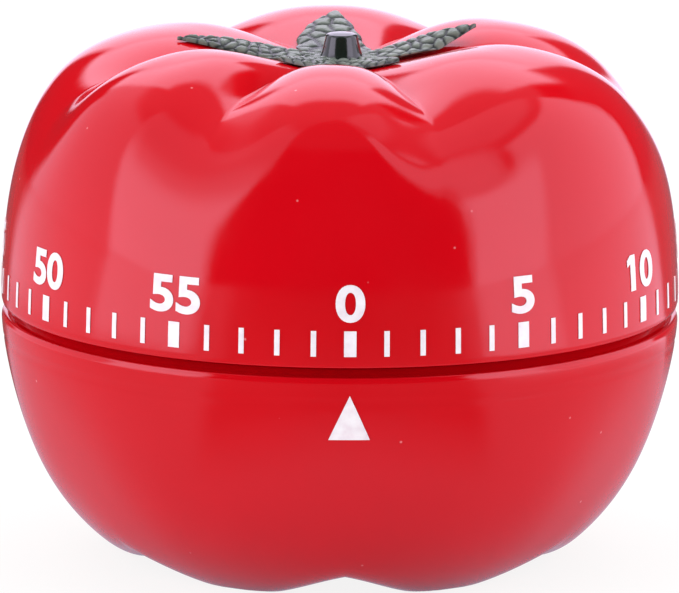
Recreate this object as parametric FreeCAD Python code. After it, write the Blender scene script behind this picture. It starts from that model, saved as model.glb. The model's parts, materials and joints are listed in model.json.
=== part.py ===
"""Tomato-shaped mechanical kitchen timer, 60 minutes, with its clockwork and bell.

Units are millimetres, +Z is up, the origin is the centre of the footprint on the resting plane and
-Y is the front: the zero mark of the dial and the pointer both face -Y at rest.
Each solid, or group of like solids, is written as one STEP file in parts/.
"""
import FreeCAD, Part
import math
import os

V = FreeCAD.Vector

# ---------------------------------------------------------------- shells
BODY_R = 32.5                 # radius of both halves at the seam
SEAM_Z = 24.0                 # middle of the gap between the halves
SEAM_GAP = 1.0                # height of that gap
WALL = 2.0                    # wall of both shells
STEM_SEAT_H = 22.8            # from the upper half's edge to the middle of the dome
STEM_SEAT_R = 3.0             # flat middle of the dome
LIP_H = 2.4                   # inner lip of the lower shell above its edge
LIP_T = 1.1                   # thickness of that lip
FLOOR_T = 2.2                 # floor of the lower shell
FLOOR_Z = 4.6                 # top of that floor
BOSS_R = 3.0                  # screw bosses on the floor
SLOTS = 6                     # sound slots in the floor
SLOT_L = 8.0
SLOT_W = 1.6
SLOT_R = 10.0                 # middle of a slot, from the centre

# ---------------------------------------------------------------- clearances
FIT = 0.04                    # radial clearance of a running fit
CLEAR = 0.3                   # clearance between surfaces that pass each other
SHAKE = 0.1                   # end play of an arbor between the plates
HOLE_PLAY = 0.15              # radial play of a screw in the ear it holds
WASHER_PLAY = 0.12            # radial play of the thrust washer on the arbor

# ---------------------------------------------------------------- frame of the clockwork
PLATE_ROOM = 5.5              # from the clockwork plates to the wall of the shell
PLATE_T = 1.2                 # thickness of the plates
BACK_Z = 14.0                 # underside of the back plate
PLATE_GAP = 11.8              # clear height between the plates
EAR_INSET = 4.7               # from the bolt circle of the mounting screws to the wall
EAR_W = 2.7                   # radius of an ear's rounded end
EAR_ANGLES = [0.0, 120.0, 240.0]
PILLAR_R = 1.6                # radius of a pillar
PILLAR_INSET = 2.4            # from the pillars' axes to the edge of the plates
PILLAR_ANGLES = [45.0, 132.0, 208.0, 268.0]
STUD_R = 1.0                  # threaded ends of the pillars
RIVET_SPREAD = 0.5            # how far a riveted end or a collar stands out around its pin
RIVET_H = 0.3                 # height of a rivet head
NUT_AF = 4.0                  # width across flats of the nuts
NUT_H = 1.5                   # height of the nuts
THREAD_OUT = 0.3              # thread that shows above a nut
SCREW_R = 1.25                # mounting screws, shank radius
SCREW_HEAD_R = 2.3            # and their heads
SCREW_HEAD_H = 1.3
SCREW_L = 6.0                 # shank length below the ear
HEAD_TAPER = 0.8              # top of a screw head, as a share of its radius
DRIVER_SLOT = 0.28            # width of its slot, as a share of its radius

# ---------------------------------------------------------------- centre arbor, knob boss and stalk
ARBOR_R = 1.8                 # centre arbor
ARBOR_PIVOT_R = 1.2           # its lower pivot
COLLAR_W = 1.0                # width of its collar between the cam and the main wheel
FLAT_DEPTH = 0.5              # depth of the flat on its upper end
FLAT_BELOW = 1.0              # how far the flat reaches below the knob boss
KNOB_BOSS_R = 4.5             # boss of the upper shell around the arbor
KNOB_BOSS_H = 10.5            # how far that boss hangs below the roof
ARBOR_ROOF = 3.2              # from the middle of the dome down to the arbor's end
STALK_R = 1.55                # top radius of the stalk
STALK_BASE_R = 2.15           # its flared foot
STALK_H = 3.1                 # its height above the dome's middle
PEG_R = 1.1                   # peg under the stalk
PEG_L = 2.0                   # how deep the peg goes into the shell
SEPAL_T = 0.7                 # thickness of the sepals
SEPAL_LIFT = 0.27             # gap under them, and allowance for the dome's swell between their sections
CALYX_SEAT_R = 2.7            # middle of the calyx that rests on the dome
CALYX_HUB_R = 3.4             # where the sepals join

# ---------------------------------------------------------------- wheels and pinions
MODULE_1 = 0.35               # main wheel and the pinions it drives
MODULE_2 = 0.30               # second wheel and third pinion
MODULE_3 = 0.25               # third wheel and escape pinion
MAIN_TEETH = 72
SECOND_TEETH = 56
THIRD_TEETH = 48
PINION_TEETH = 8
PRESSURE = math.radians(20.0)
SHIFT = 0.45                  # profile shift, outwards on a pinion and inwards on its wheel
ADDENDUM = 0.8                # in modules, as the two below
DEDENDUM = 1.25
BACKLASH = 0.10               # gap between meshing flanks, in mm
FLANK_STEPS = 3               # straight pieces along a flank
MAIN_T = 1.2                  # thickness of the main wheel
WHEEL_T = 0.8                 # thickness of the other wheels, levers and arms
PINION_H = 2.0                # height of the pinions
TRAIN_ARBOR_R = 0.6           # arbors of the train
PIVOT_R = 0.4                 # their pivots
ESCAPE_TEETH = 15
ESCAPE_R = 5.0
STRIKE_TEETH = 10
STRIKE_R = 5.4
TOOTH_DEPTH = 1.1             # depth of the pointed teeth on those two wheels
TOOTH_SHARE = 0.25            # half width of such a tooth at its root, as a share of the pitch
PALLET_H = 1.3                # from a pallet's elbow to its tip
PALLET_TIP_HALF = 0.15        # half width of that tip
STAR_GAP = 0.15               # from the neutral pallet tips to the wheel's tip circle
ESCAPE_SPREAD = 1.75          # half angle between the pallets, in teeth of the escape wheel
STRIKE_SPREAD = 0.75          # and of the hammer verge, in teeth of the strike wheel
MAIN_HOLES = (4, 1.9, 8.0)    # holes that lighten a wheel: how many, their radius and their circle
SECOND_HOLES = (5, 1.6, 5.0)
THIRD_HOLES = (4, 1.3, 3.4)
ESCAPE_HOLES = (4, 0.9, 2.3)
STRIKE_HOLES = (5, 0.9, 2.6)

# ---------------------------------------------------------------- layers, each above the one before
CAM_RISE = 0.3                # from the back plate to the cam, the lever and the hammer tail
SECOND_RISE = 0.5             # from the back plate to the second wheel
MAIN_RISE = 0.6               # from the second wheel to the main wheel
THIRD_RISE = 0.9              # from the main wheel to the third wheel
STRIKE_RISE = 0.7             # from the ratchet wheel to the strike wheel
ESCAPE_RISE = 2.4             # from the third wheel to the escape wheel
BAR_RISE = 0.9                # from the escape wheel to the balance bar
SPRING_DROP = 1.0             # from the mainspring to the front plate
HAMMER_DROP = 4.2             # from the back plate down to the hammer arm
BELL_DROP = 0.5               # from the back plate down to the head of the bell screw
FINGER_RISE = 0.5             # from the front plate to the stop finger

# ---------------------------------------------------------------- plan of the clockwork
SECOND_A = -60.0              # bearing of the second arbor on the main wheel, degrees
THIRD_R = 18.0                # the third arbor, from the centre
ESCAPE_AT_R = 17.0
PALLET_AT_R = 17.6
PALLET_REACH = 6.6            # from the escape arbor to the pallet arbor
STRIKE_A = 150.0
HAMMER_AT_R = 19.6
HAMMER_REACH = 7.6            # from the strike arbor to the hammer arbor

# ---------------------------------------------------------------- mainspring, ratchet and click
SPRING_H = 4.6                # height of the mainspring
SPRING_T = 0.28               # thickness of its strip
SPRING_TURNS = 5.5
SPRING_GAP = 0.1              # from its inner end to the arbor
SPRING_STEPS = 16             # points along one turn
SPRING_OUT_R = 9.6            # outer radius of the coiled spring
SPRING_POST_R = 0.6           # post that holds its outer end
SPRING_END_A = 75.0           # angle of that post, degrees
RATCHET_TEETH = 16
RATCHET_R = 4.6
RATCHET_T = 1.0
RATCHET_DEPTH = 0.7
RATCHET_RAKE = 3.0            # lean of a tooth's steep side, degrees
CLICK_R = 8.4                 # where the click turns, on the main wheel
CLICK_A = 20.0
CLICK_SPAN = 48.0             # from that place to the click's nose, degrees
CLICK_HUB_R = 1.2
CLICK_PIN_R = 0.6
CLICK_HALF = 0.9              # half width of the click beside its pin
CLICK_NOSE_HALF = 0.25        # and at its nose
CLICK_GAP = 0.35              # from the nose to the ratchet wheel's tip circle
CLICK_SPRING_FOOT = (10.6, 62.0)     # radius, and degrees past the click's pin
CLICK_SPRING_END = (7.6, 22.0)
CLICK_SPRING_R = 0.7          # its round foot
CLICK_SPRING_T = 0.26         # its blade's thickness
CLICK_SPRING_H = 0.8          # and height

# ---------------------------------------------------------------- bell and hammer
BELL_R = 16.0                 # rim radius of the bell
BELL_H = 5.6                  # its height
BELL_T = 0.9                  # its wall
BELL_CROWN = 0.45             # flat middle of the bell, as a share of its radius
BELL_CURL = 0.35              # where its side turns upright, as a share of its height
BELL_SHOULDER = 1.5           # how far inside the rim the shoulder starts to fall
BELL_POST_R = 2.7             # post the bell stands on
BELL_STUD_R = 1.5             # stud of the bell post in the floor
BELL_SCREW_R = 1.0            # shank of the bell screw
BELL_HEAD_R = 2.4             # its head
BELL_SCREW_H = 0.9
BELL_SCREW_L = 3.0            # its thread in the post
HAMMER_HEAD_R = 1.4
HAMMER_GAP = 1.1              # from the resting hammer head to the bell
HAMMER_LEAN = 24.0            # from the hammer arbor's bearing to the head's, degrees
HEAD_H = 2.2                  # hammer head's height
HEAD_ROUND = 0.3              # rounding of its edges
HEAD_PIN_R = 0.5
HEAD_PIN_OUT = 0.2            # the pin's riveted end above the arm
TAIL_L = 5.2                  # hammer tail, which the release lever holds
TAIL_A = -53.0
HUB_R = 1.3                   # hub of the pallet, the verge, the hammer's tail and its arm
HUB_RISE = 0.6                # how far the hammer arm's hub stands above the arm
BAR_HALF = 4.4                # half length of the balance bar
BAR_WEIGHT_R = 1.0            # weights on its ends
BAR_WEIGHT_RISE = 0.5
ARM_HALF = 0.6                # half width of a flat arm at its root
ARM_TIP_HALF = 0.4            # and at its tip

# ---------------------------------------------------------------- stop, cam and release lever
WASHER_R = 3.4                # thrust washer
WASHER_T = 0.4
FINGER_T = 1.0                # thickness of the stop finger
FINGER_HUB_R = 3.2
FINGER_HALF = 0.5             # half width of the stop finger
FINGER_OVER = 1.0             # how far it reaches past the stop pin
STOP_R = 9.0                  # radius on which the stop pin stands
STOP_A = 90.0
STOP_PIN_R = 0.4
STOP_PIN_OUT = 0.4            # how far it stands above the finger
DIAL_TRAVEL = 348.0           # degrees from zero to the far stop
CAM_R = 4.2                   # release cam
CAM_NOTCH = 1.2               # depth of its notch
CAM_NOTCH_BACK = -25.0        # the notch's ends, in degrees from the lever's nose
CAM_NOTCH_AHEAD = 13.0
NOSE_A = 170.0                # bearing of the release lever's nose on the cam
NOSE_HALF = 0.3               # half width of the nose
NOSE_GAP = 0.15               # from the nose to the cam
LEVER_OUT = 1.9               # from the cam to the middle of the lever's elbow
LEVER_ARM = 9.0               # from the elbow to the lever's pin
LEVER_TAIL = 9.7              # from the pin to the end that holds the hammer
LEVER_TAIL_A = 137.0
LEVER_HUB_R = 1.5
LEVER_HALF = 0.9              # half width of the lever beside its pin
LEVER_PIN_R = 0.6

# ---------------------------------------------------------------- lobes of the tomato
# Meridians of the lobed halves as cubic B-spline poles: (radius less BODY_R, height from the edge).
# Each pole of the crease moves to the pole of the lobe by the lobe's section at that pole.
UPPER_CREASE = [(0, 0), (-0.1, 6.3), (-1.0, 14.9), (-7.1, 22.3), (-14.5, 22.8), (-19.0, 23.4), (-24.1, 23.4)]
UPPER_LOBE = [(0, 0), (-0.1, 6.3), (-1.0, 14.9), (-5.2, 23.4), (-14.0, 25.9), (-19.0, 25.6), (-24.1, 24.0)]
LOWER_CREASE = [(0, 0), (0, -3.1), (-4.3, -14.7), (-8.5, -22.4), (-15.5, -20.6), (-26.5, -20.1)]
LOWER_LOBE = [(0, 0), (0, -3.1), (-2.9, -16.8), (-12.3, -24.3), (-15.5, -24.3), (-26.5, -22.0)]
SOFT_POLES = 4                # poles from the edge where the crease is a soft valley; then it is sharp
UPPER_CREASES_DEG = [-28.0, 18.0, 93.7, 150.0, 214.1, 283.6]     # from the front towards +X
UPPER_SWELL = [0.9, 1.12, 0.95, 0.96, 0.92, 1.05]
LOWER_CREASES_DEG = [0.0, 60.0, 120.0, 180.0, 240.0, 300.0]
LOWER_SWELL = [1.0] * 6
UPPER_POWERS = (3.4, 2.5)     # power of a lobe's section at the soft poles and at the sharp ones
LOWER_POWERS = (2.7, 2.25)
STATIONS = 16                 # spans across one lobe
SEW_TOLERANCE = 0.005
SEPALS = [                    # bearing from the front in degrees, reach from the axis, half width, rise
    (181.0, 14.0, 3.2, 0.0),
    (103.0, 13.6, 2.3, 1.3),
    (-92.5, 16.0, 2.3, 0.0),
    (-40.0, 10.0, 2.0, 0.0),
    (36.0, 9.6, 2.0, 0.0),
]
SEPAL_SHARE = [0.0, 0.25, 0.5, 0.75, 1.0]     # stations along a sepal
SEPAL_WIDTH = [0.75, 1.0, 0.85, 0.5, 0.06]    # half width at each, as a share
ACROSS = [-1.0, -0.5, 0.0, 0.5, 1.0]
CUT = 1.0                     # how far a cutting tool runs past what it cuts


def polar(radius, degrees):
    """Point on a circle about Z; 0 degrees is +X and angles run anticlockwise seen from above."""
    return (radius * math.cos(math.radians(degrees)), radius * math.sin(math.radians(degrees)))


def beyond(start, radius, degrees):
    """Point that far from start in the direction given."""
    x, y = polar(radius, degrees)
    return (start[0] + x, start[1] + y)


def on_circle(first, distance, radius):
    """Angle, in degrees, from a point at radius first to one at the given radius that far away."""
    return math.degrees(math.acos((first ** 2 + radius ** 2 - distance ** 2) / (2 * first * radius)))


# ---------------------------------------------------------------- places that follow from the sizes
UPPER_EDGE_Z = SEAM_Z + SEAM_GAP / 2
LOWER_EDGE_Z = SEAM_Z - SEAM_GAP / 2
DOME_MID_Z = UPPER_EDGE_Z + STEM_SEAT_H
BACK_TOP = BACK_Z + PLATE_T
FRONT_Z = BACK_TOP + PLATE_GAP
FRONT_TOP = FRONT_Z + PLATE_T
ARBOR_TOP = DOME_MID_Z - ARBOR_ROOF
ROOF_Z = DOME_MID_Z - WALL
BOSS_Z = ROOF_Z - KNOB_BOSS_H
LIP_OUT_R = BODY_R - WALL - CLEAR
PLATE_R = BODY_R - WALL - PLATE_ROOM
EAR_R = BODY_R - WALL - EAR_INSET
PILLAR_CIRCLE = PLATE_R - PILLAR_INSET

CAM_Z = BACK_TOP + CAM_RISE
SECOND_Z = BACK_TOP + SECOND_RISE
MAIN_Z = SECOND_Z + WHEEL_T + MAIN_RISE
MAIN_TOP = MAIN_Z + MAIN_T
RATCHET_Z = MAIN_TOP + SHAKE
THIRD_Z = MAIN_TOP + THIRD_RISE
STRIKE_Z = RATCHET_Z + RATCHET_T + STRIKE_RISE
ESCAPE_Z = THIRD_Z + WHEEL_T + ESCAPE_RISE
BAR_Z = ESCAPE_Z + WHEEL_T + BAR_RISE
SPRING_Z = FRONT_Z - SPRING_H - SPRING_DROP
ARBOR_LOW = BACK_Z + SHAKE
HAMMER_Z = BACK_Z - HAMMER_DROP
BELL_TOP = BACK_Z - BELL_SCREW_H - BELL_DROP
FINGER_Z = FRONT_TOP + FINGER_RISE

CENTRE_1 = MODULE_1 * (MAIN_TEETH + PINION_TEETH) / 2
CENTRE_2 = MODULE_2 * (SECOND_TEETH + PINION_TEETH) / 2
CENTRE_3 = MODULE_3 * (THIRD_TEETH + PINION_TEETH) / 2
THIRD_A = SECOND_A + on_circle(CENTRE_1, CENTRE_2, THIRD_R)
ESCAPE_A = THIRD_A + on_circle(THIRD_R, CENTRE_3, ESCAPE_AT_R)
PALLET_A = ESCAPE_A + on_circle(ESCAPE_AT_R, PALLET_REACH, PALLET_AT_R)
HAMMER_A = STRIKE_A + on_circle(CENTRE_1, HAMMER_REACH, HAMMER_AT_R)
SECOND_XY = polar(CENTRE_1, SECOND_A)
THIRD_XY = polar(THIRD_R, THIRD_A)
ESCAPE_XY = polar(ESCAPE_AT_R, ESCAPE_A)
PALLET_XY = polar(PALLET_AT_R, PALLET_A)
STRIKE_XY = polar(CENTRE_1, STRIKE_A)
HAMMER_XY = polar(HAMMER_AT_R, HAMMER_A)
HAMMER_TAIL_XY = beyond(HAMMER_XY, TAIL_L, TAIL_A)
HEAD_XY = polar(BELL_R + HAMMER_HEAD_R + HAMMER_GAP, HAMMER_A + HAMMER_LEAN)
ELBOW_XY = polar(CAM_R + LEVER_OUT, NOSE_A)
LEVER_XY = beyond(ELBOW_XY, LEVER_ARM, NOSE_A + 90.0)
LEVER_TAIL_XY = beyond(LEVER_XY, LEVER_TAIL, LEVER_TAIL_A)
CLICK_XY = polar(CLICK_R, CLICK_A)
STOP_XY = polar(STOP_R, STOP_A)
SPRING_POST_XY = polar(SPRING_OUT_R + SPRING_T / 2 + SPRING_POST_R + FIT, SPRING_END_A)


# ---------------------------------------------------------------- small solids
def cyl(radius, z0, z1, at=(0, 0)):
    """Upright cylinder from z0 to z1."""
    return Part.makeCylinder(radius, z1 - z0, V(at[0], at[1], z0))


def bored(body, radius, at=(0, 0)):
    """The body with an upright hole right through it."""
    box = body.BoundBox
    return body.cut(cyl(radius, box.ZMin - CUT, box.ZMax + CUT, at))


def ring(outer, inner, z0, z1, at=(0, 0)):
    """Upright tube from z0 to z1."""
    return bored(cyl(outer, z0, z1, at), inner, at)


def cone(r0, r1, z0, z1, at=(0, 0)):
    """Upright cone from radius r0 at z0 to r1 at z1."""
    return Part.makeCone(r0, r1, z1 - z0, V(at[0], at[1], z0))


def fuse(*shapes):
    """One solid from several that touch."""
    body = shapes[0]
    for shape in shapes[1:]:
        body = body.fuse(shape)
    return body.removeSplitter()


def prism(points, z0, z1):
    """Upright prism on a polygon of (x, y) points."""
    loop = [V(x, y, z0) for x, y in points]
    face = Part.Face(Part.makePolygon(loop + [loop[0]]))
    return face.extrude(V(0, 0, z1 - z0))


def turned(shape, degrees, at=(0, 0)):
    """The shape turned about an upright axis through at."""
    copy = shape.copy()
    copy.rotate(V(at[0], at[1], 0), V(0, 0, 1), degrees)
    return copy


def moved(shape, at, z=0.0):
    """The shape moved sideways to at, and up by z."""
    copy = shape.copy()
    copy.translate(V(at[0], at[1], z))
    return copy


def strip(start, end, half_start, half_end, z0, z1):
    """Flat bar between two (x, y) points, with its own half width at each."""
    dx, dy = end[0] - start[0], end[1] - start[1]
    length = math.hypot(dx, dy)
    nx, ny = -dy / length, dx / length
    return prism([
        (start[0] + nx * half_start, start[1] + ny * half_start),
        (start[0] - nx * half_start, start[1] - ny * half_start),
        (end[0] - nx * half_end, end[1] - ny * half_end),
        (end[0] + nx * half_end, end[1] + ny * half_end),
    ], z0, z1)


def hex_nut(across, z0, z1, at, bore):
    """Hexagonal nut with chamfered corners and a bore."""
    corner = across / math.sqrt(3)
    blank = moved(prism([polar(corner, 60 * i) for i in range(6)], z0, z1), at)
    chamfer = cone(corner + (z1 - z0), across / 2, z0, z1, at)
    return bored(blank.common(chamfer), bore, at)


# ---------------------------------------------------------------- lobed shells
def lobe_section(u, soft, power):
    """Share of the lobe at u, from -1 on one crease to 1 on the next."""
    reach = abs(math.sin(math.pi * u / 2)) if soft else abs(u)
    return 1.0 - reach ** power


def offset_poles(poles, centre, wall):
    """Meridian poles moved inwards by the wall, normal to the meridian."""
    moved_poles = []
    for i, (r, z) in enumerate(poles):
        before = poles[max(i - 1, 0)]
        after = poles[i + 1] if i + 1 < len(poles) else centre
        dr, dz = after[0] - before[0], after[1] - before[1]
        length = math.hypot(dr, dz)
        side = 1.0 if centre[1] > poles[0][1] else -1.0
        moved_poles.append((r - side * wall * dz / length, z + side * wall * dr / length))
    return moved_poles


def meridian(edge_z, crease, lobe, centre, wall):
    """Crease and lobe poles of one half in real coordinates; wall is 0 for the outer face."""
    shells = []
    for table in (crease, lobe):
        poles = [(BODY_R + r, edge_z + z) for r, z in table]
        if wall:
            poles = offset_poles(poles, centre, wall)
            poles[0] = (BODY_R - wall, edge_z)
            poles[1] = (BODY_R + table[1][0] - wall, poles[1][1])
        shells.append(poles)
    return shells


def lobed_face(shells, centre, start_deg, end_deg, swell, powers):
    """One lobe of a half as a B-spline face between two creases."""
    crease, lobe = shells
    shares = [i / STATIONS for i in range(STATIONS + 1)]
    rows = []
    for i, ((cr, cz), (lr, lz)) in enumerate(zip(crease, lobe)):
        row = []
        for share in shares:
            angle = start_deg + (end_deg - start_deg) * share
            weight = swell * lobe_section(2 * share - 1, i < SOFT_POLES, powers[i >= SOFT_POLES])
            r = cr + weight * (lr - cr)
            z = cz + weight * (lz - cz)
            x, y = polar(r, angle - 90.0)
            row.append(V(x, y, z))
        rows.append(row)
    last = []
    for share in shares:
        x, y = polar(centre[0], start_deg + (end_deg - start_deg) * share - 90.0)
        last.append(V(x, y, centre[1]))
    rows.append(last)
    grid = []
    for row in rows:
        curve = Part.BSplineCurve()
        curve.interpolate(Points=row, Parameters=shares)
        grid.append(curve.getPoles())
        mults, knots = curve.getMultiplicities(), curve.getKnots()
    spans = len(rows) - 3
    face = Part.BSplineSurface()
    face.buildFromPolesMultsKnots(
        grid, [4] + [1] * (spans - 1) + [4], mults,
        [i / spans for i in range(spans + 1)], knots, False, False, 3, 3)
    return face.toShape()


def lies_at(edge, z):
    """True if the whole edge lies in the plane at z."""
    box = edge.BoundBox
    return abs(box.ZMin - z) < 1e-4 and abs(box.ZMax - z) < 1e-4


def lobed_solid(edge_z, crease, lobe, centre, wall, creases, swells, powers):
    """Closed solid of one half: six lobed faces, the seam disc and the middle disc."""
    shells = meridian(edge_z, crease, lobe, centre, wall)
    faces = []
    caps = []
    for i, start in enumerate(creases):
        end = creases[i + 1] if i + 1 < len(creases) else creases[0] + 360.0
        faces.append(lobed_face(shells, centre, start, end, swells[i], powers))
    for z in (edge_z, centre[1]):
        rim = [edge for face in faces for edge in face.Edges if lies_at(edge, z)]
        caps.append(Part.Face(Part.Wire(Part.__sortEdges__(rim))))
    sewn = Part.makeShell(faces + caps)
    sewn.sewShape(SEW_TOLERANCE)
    solid = Part.Solid(sewn.Shells[0])
    if solid.Volume < 0:
        solid.reverse()
    return solid


def upper_half(wall):
    """The upper half filled solid, or its inside if wall is the shell's wall."""
    centre = (STEM_SEAT_R, DOME_MID_Z - wall)
    return lobed_solid(UPPER_EDGE_Z, UPPER_CREASE, UPPER_LOBE, centre, wall,
                       UPPER_CREASES_DEG, UPPER_SWELL, UPPER_POWERS)


def lower_half(wall):
    """The lower half filled solid, or its inside if wall is the shell's wall."""
    centre = (STEM_SEAT_R, FLOOR_Z if wall else FLOOR_Z - FLOOR_T)
    return lobed_solid(LOWER_EDGE_Z, LOWER_CREASE, LOWER_LOBE, centre, wall,
                       LOWER_CREASES_DEG, LOWER_SWELL, LOWER_POWERS)


def dome_height(x, y):
    """Height of the upper half's outer face above (x, y)."""
    radius = math.hypot(x, y)
    bearing = math.degrees(math.atan2(y, x)) + 90.0
    while bearing < UPPER_CREASES_DEG[0]:
        bearing += 360.0
    while bearing >= UPPER_CREASES_DEG[0] + 360.0:
        bearing -= 360.0
    lobe_index = max(i for i, start in enumerate(UPPER_CREASES_DEG) if bearing >= start)
    start = UPPER_CREASES_DEG[lobe_index]
    ends = UPPER_CREASES_DEG[1:] + [UPPER_CREASES_DEG[0] + 360.0]
    u = 2 * (bearing - start) / (ends[lobe_index] - start) - 1
    poles = []
    for i, (crease, lobe) in enumerate(zip(UPPER_CREASE, UPPER_LOBE)):
        section = lobe_section(u, i < SOFT_POLES, UPPER_POWERS[i >= SOFT_POLES])
        weight = UPPER_SWELL[lobe_index] * section
        poles.append(V(BODY_R + crease[0] + weight * (lobe[0] - crease[0]), 0,
                       UPPER_EDGE_Z + crease[1] + weight * (lobe[1] - crease[1])))
    poles.append(V(STEM_SEAT_R, 0, DOME_MID_Z))
    if radius <= STEM_SEAT_R:
        return DOME_MID_Z
    curve = Part.BSplineCurve()
    spans = len(poles) - 3
    curve.buildFromPolesMultsKnots(poles, [4] + [1] * (spans - 1) + [4],
                                   [i / spans for i in range(spans + 1)], False, 3)
    low, high = 0.0, 1.0
    for _ in range(40):
        mid = (low + high) / 2
        if curve.value(mid).x > radius:
            low = mid
        else:
            high = mid
    return curve.value(low).z


# ---------------------------------------------------------------- gears
def involute(angle):
    return math.tan(angle) - angle


def gear_outline(module, teeth, shift, gap_first):
    """Points of an involute gear; a tooth, or a gap if gap_first, is centred on +X."""
    pitch_r = module * teeth / 2
    base_r = pitch_r * math.cos(PRESSURE)
    tip_r = pitch_r + module * (ADDENDUM + shift)
    root_r = pitch_r - module * (DEDENDUM - shift)
    half_pitch = module * (math.pi / 4 + shift * math.tan(PRESSURE)) - BACKLASH / 4
    lowest = max(root_r, base_r)
    flank = []
    for i in range(FLANK_STEPS + 1):
        r = lowest + (tip_r - lowest) * i / FLANK_STEPS
        slope = math.acos(min(1.0, base_r / r))
        flank.append((r, half_pitch / pitch_r + involute(PRESSURE) - involute(slope)))
    if root_r < base_r:
        flank.insert(0, (root_r, flank[0][1]))
    points = []
    for tooth in range(teeth):
        middle = 2 * math.pi * (tooth + (0.5 if gap_first else 0.0)) / teeth
        points += [(r * math.cos(middle - a), r * math.sin(middle - a)) for r, a in flank]
        points += [(r * math.cos(middle + a), r * math.sin(middle + a)) for r, a in reversed(flank)]
    return points


def wheel(module, teeth, z0, z1, at, towards):
    """Toothed wheel with a tooth centred on the direction given in degrees."""
    return moved(turned(prism(gear_outline(module, teeth, -SHIFT, False), z0, z1), towards), at)


def pinion(module, z0, z1, at, towards):
    """Pinion with a gap centred on the direction given in degrees."""
    return moved(turned(prism(gear_outline(module, PINION_TEETH, SHIFT, True), z0, z1), towards), at)


def lightened(blank, holes, at, first=0.0):
    """The wheel lightened by round holes, given as how many, their radius and their circle."""
    count, hole_r, circle_r = holes
    for i in range(count):
        blank = bored(blank, hole_r, beyond(at, circle_r, first + 360.0 * i / count))
    return blank


def star(radius, teeth, z0, z1, at, towards, bore):
    """Wheel with pointed teeth, one of them on the direction given in degrees."""
    points = []
    for tooth in range(teeth):
        middle = 360.0 * tooth / teeth + towards
        for side in (-1, 0, 1):
            angle = middle + side * TOOTH_SHARE * 360.0 / teeth
            points.append(polar(radius - abs(side) * TOOTH_DEPTH, angle))
    return bored(moved(prism(points, z0, z1), at), bore, at)


def anchor(reach, wheel_r, spread, z0, z1, bore):
    """Two-armed verge at the origin for a wheel whose centre lies at +X, reach away.

    Its tips stand on the wheel's bearings of plus and minus spread, just outside the tip circle.
    """
    body = cyl(HUB_R, z0, z1)
    for side in (1, -1):
        tip = beyond((reach, 0.0), wheel_r + STAR_GAP, 180.0 - side * spread)
        elbow = beyond((reach, 0.0), wheel_r + STAR_GAP + PALLET_H, 180.0 - side * spread)
        body = body.fuse(strip((0, 0), elbow, ARM_HALF, ARM_TIP_HALF, z0, z1))
        body = body.fuse(cyl(ARM_TIP_HALF, z0, z1, elbow))
        body = body.fuse(strip(elbow, tip, ARM_TIP_HALF, PALLET_TIP_HALF, z0, z1))
    return bored(body, bore).removeSplitter()


def bearing(start, end):
    """Direction from one (x, y) point to another, in degrees."""
    return math.degrees(math.atan2(end[1] - start[1], end[0] - start[0]))


def train_arbor(at, top=None):
    """Arbor of the train with a pivot at each end."""
    top = FRONT_Z - SHAKE if top is None else top
    return fuse(cyl(TRAIN_ARBOR_R, BACK_TOP + SHAKE, top, at),
                cyl(PIVOT_R, BACK_Z + SHAKE, FRONT_TOP, at))


# ---------------------------------------------------------------- outer parts
def d_section(z0, z1):
    """Arbor's round bar with the flat that carries the knob."""
    bar = cyl(ARBOR_R, z0, z1)
    corner = V(ARBOR_R - FLAT_DEPTH, -2 * ARBOR_R, z0 - CUT)
    return bar.cut(Part.makeBox(2 * ARBOR_R, 4 * ARBOR_R, z1 - z0 + 2 * CUT, corner))


def upper_shell():
    body = upper_half(0.0).cut(upper_half(WALL))
    body = body.fuse(cyl(KNOB_BOSS_R, BOSS_Z, ROOF_Z + WALL / 2))
    body = body.cut(d_section(BOSS_Z - CUT, ARBOR_TOP))
    return body.cut(cyl(PEG_R, DOME_MID_Z - PEG_L, DOME_MID_Z + CUT))


def lower_shell():
    outer = lower_half(0.0)
    body = outer.cut(lower_half(WALL))
    for angle in EAR_ANGLES:
        boss = cyl(BOSS_R, 0, BACK_Z, polar(EAR_R, angle)).common(outer)
        body = body.fuse(boss)
    lip_in = LIP_OUT_R - LIP_T
    body = body.fuse(ring(BODY_R - WALL / 2, lip_in, LOWER_EDGE_Z - LIP_H, LOWER_EDGE_Z - LIP_H / 3))
    body = body.fuse(ring(LIP_OUT_R, lip_in, LOWER_EDGE_Z - LIP_H, LOWER_EDGE_Z + LIP_H))
    for angle in EAR_ANGLES:
        body = body.cut(cyl(SCREW_R, BACK_Z - SCREW_L - CLEAR, BACK_Z + CUT, polar(EAR_R, angle)))
    for i in range(SLOTS):
        slot = Part.makeBox(SLOT_L, SLOT_W, 2 * FLOOR_Z, V(SLOT_R - SLOT_L / 2, -SLOT_W / 2, -FLOOR_Z / 2))
        body = body.cut(turned(slot, 360.0 * (i + 0.5) / SLOTS))
    body = body.cut(cyl(BELL_STUD_R, 0, FLOOR_Z + CUT))
    below = Part.makeBox(4 * BODY_R, 4 * BODY_R, BODY_R, V(-2 * BODY_R, -2 * BODY_R, -BODY_R))
    return body.cut(below).removeSplitter()


def sepal(bearing_deg, reach, half_width, rise):
    """One leaf that lies on the dome and rises towards its tip, as a ruled loft of thin sections."""
    sections = []
    for share, width in zip(SEPAL_SHARE, SEPAL_WIDTH):
        r = STALK_BASE_R + (reach - STALK_BASE_R) * share
        low, high = [], []
        for k in ACROSS:
            x, y = beyond(polar(r, bearing_deg - 90.0), k * width * half_width, bearing_deg)
            z = max(dome_height(x, y), DOME_MID_Z) + SEPAL_LIFT + rise * share ** 2
            low.append(V(x, y, z))
            high.append(V(x, y, z + SEPAL_T))
        loop = low + list(reversed(high))
        sections.append(Part.makePolygon(loop + [loop[0]]))
    return Part.makeLoft(sections, True, True)


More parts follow.
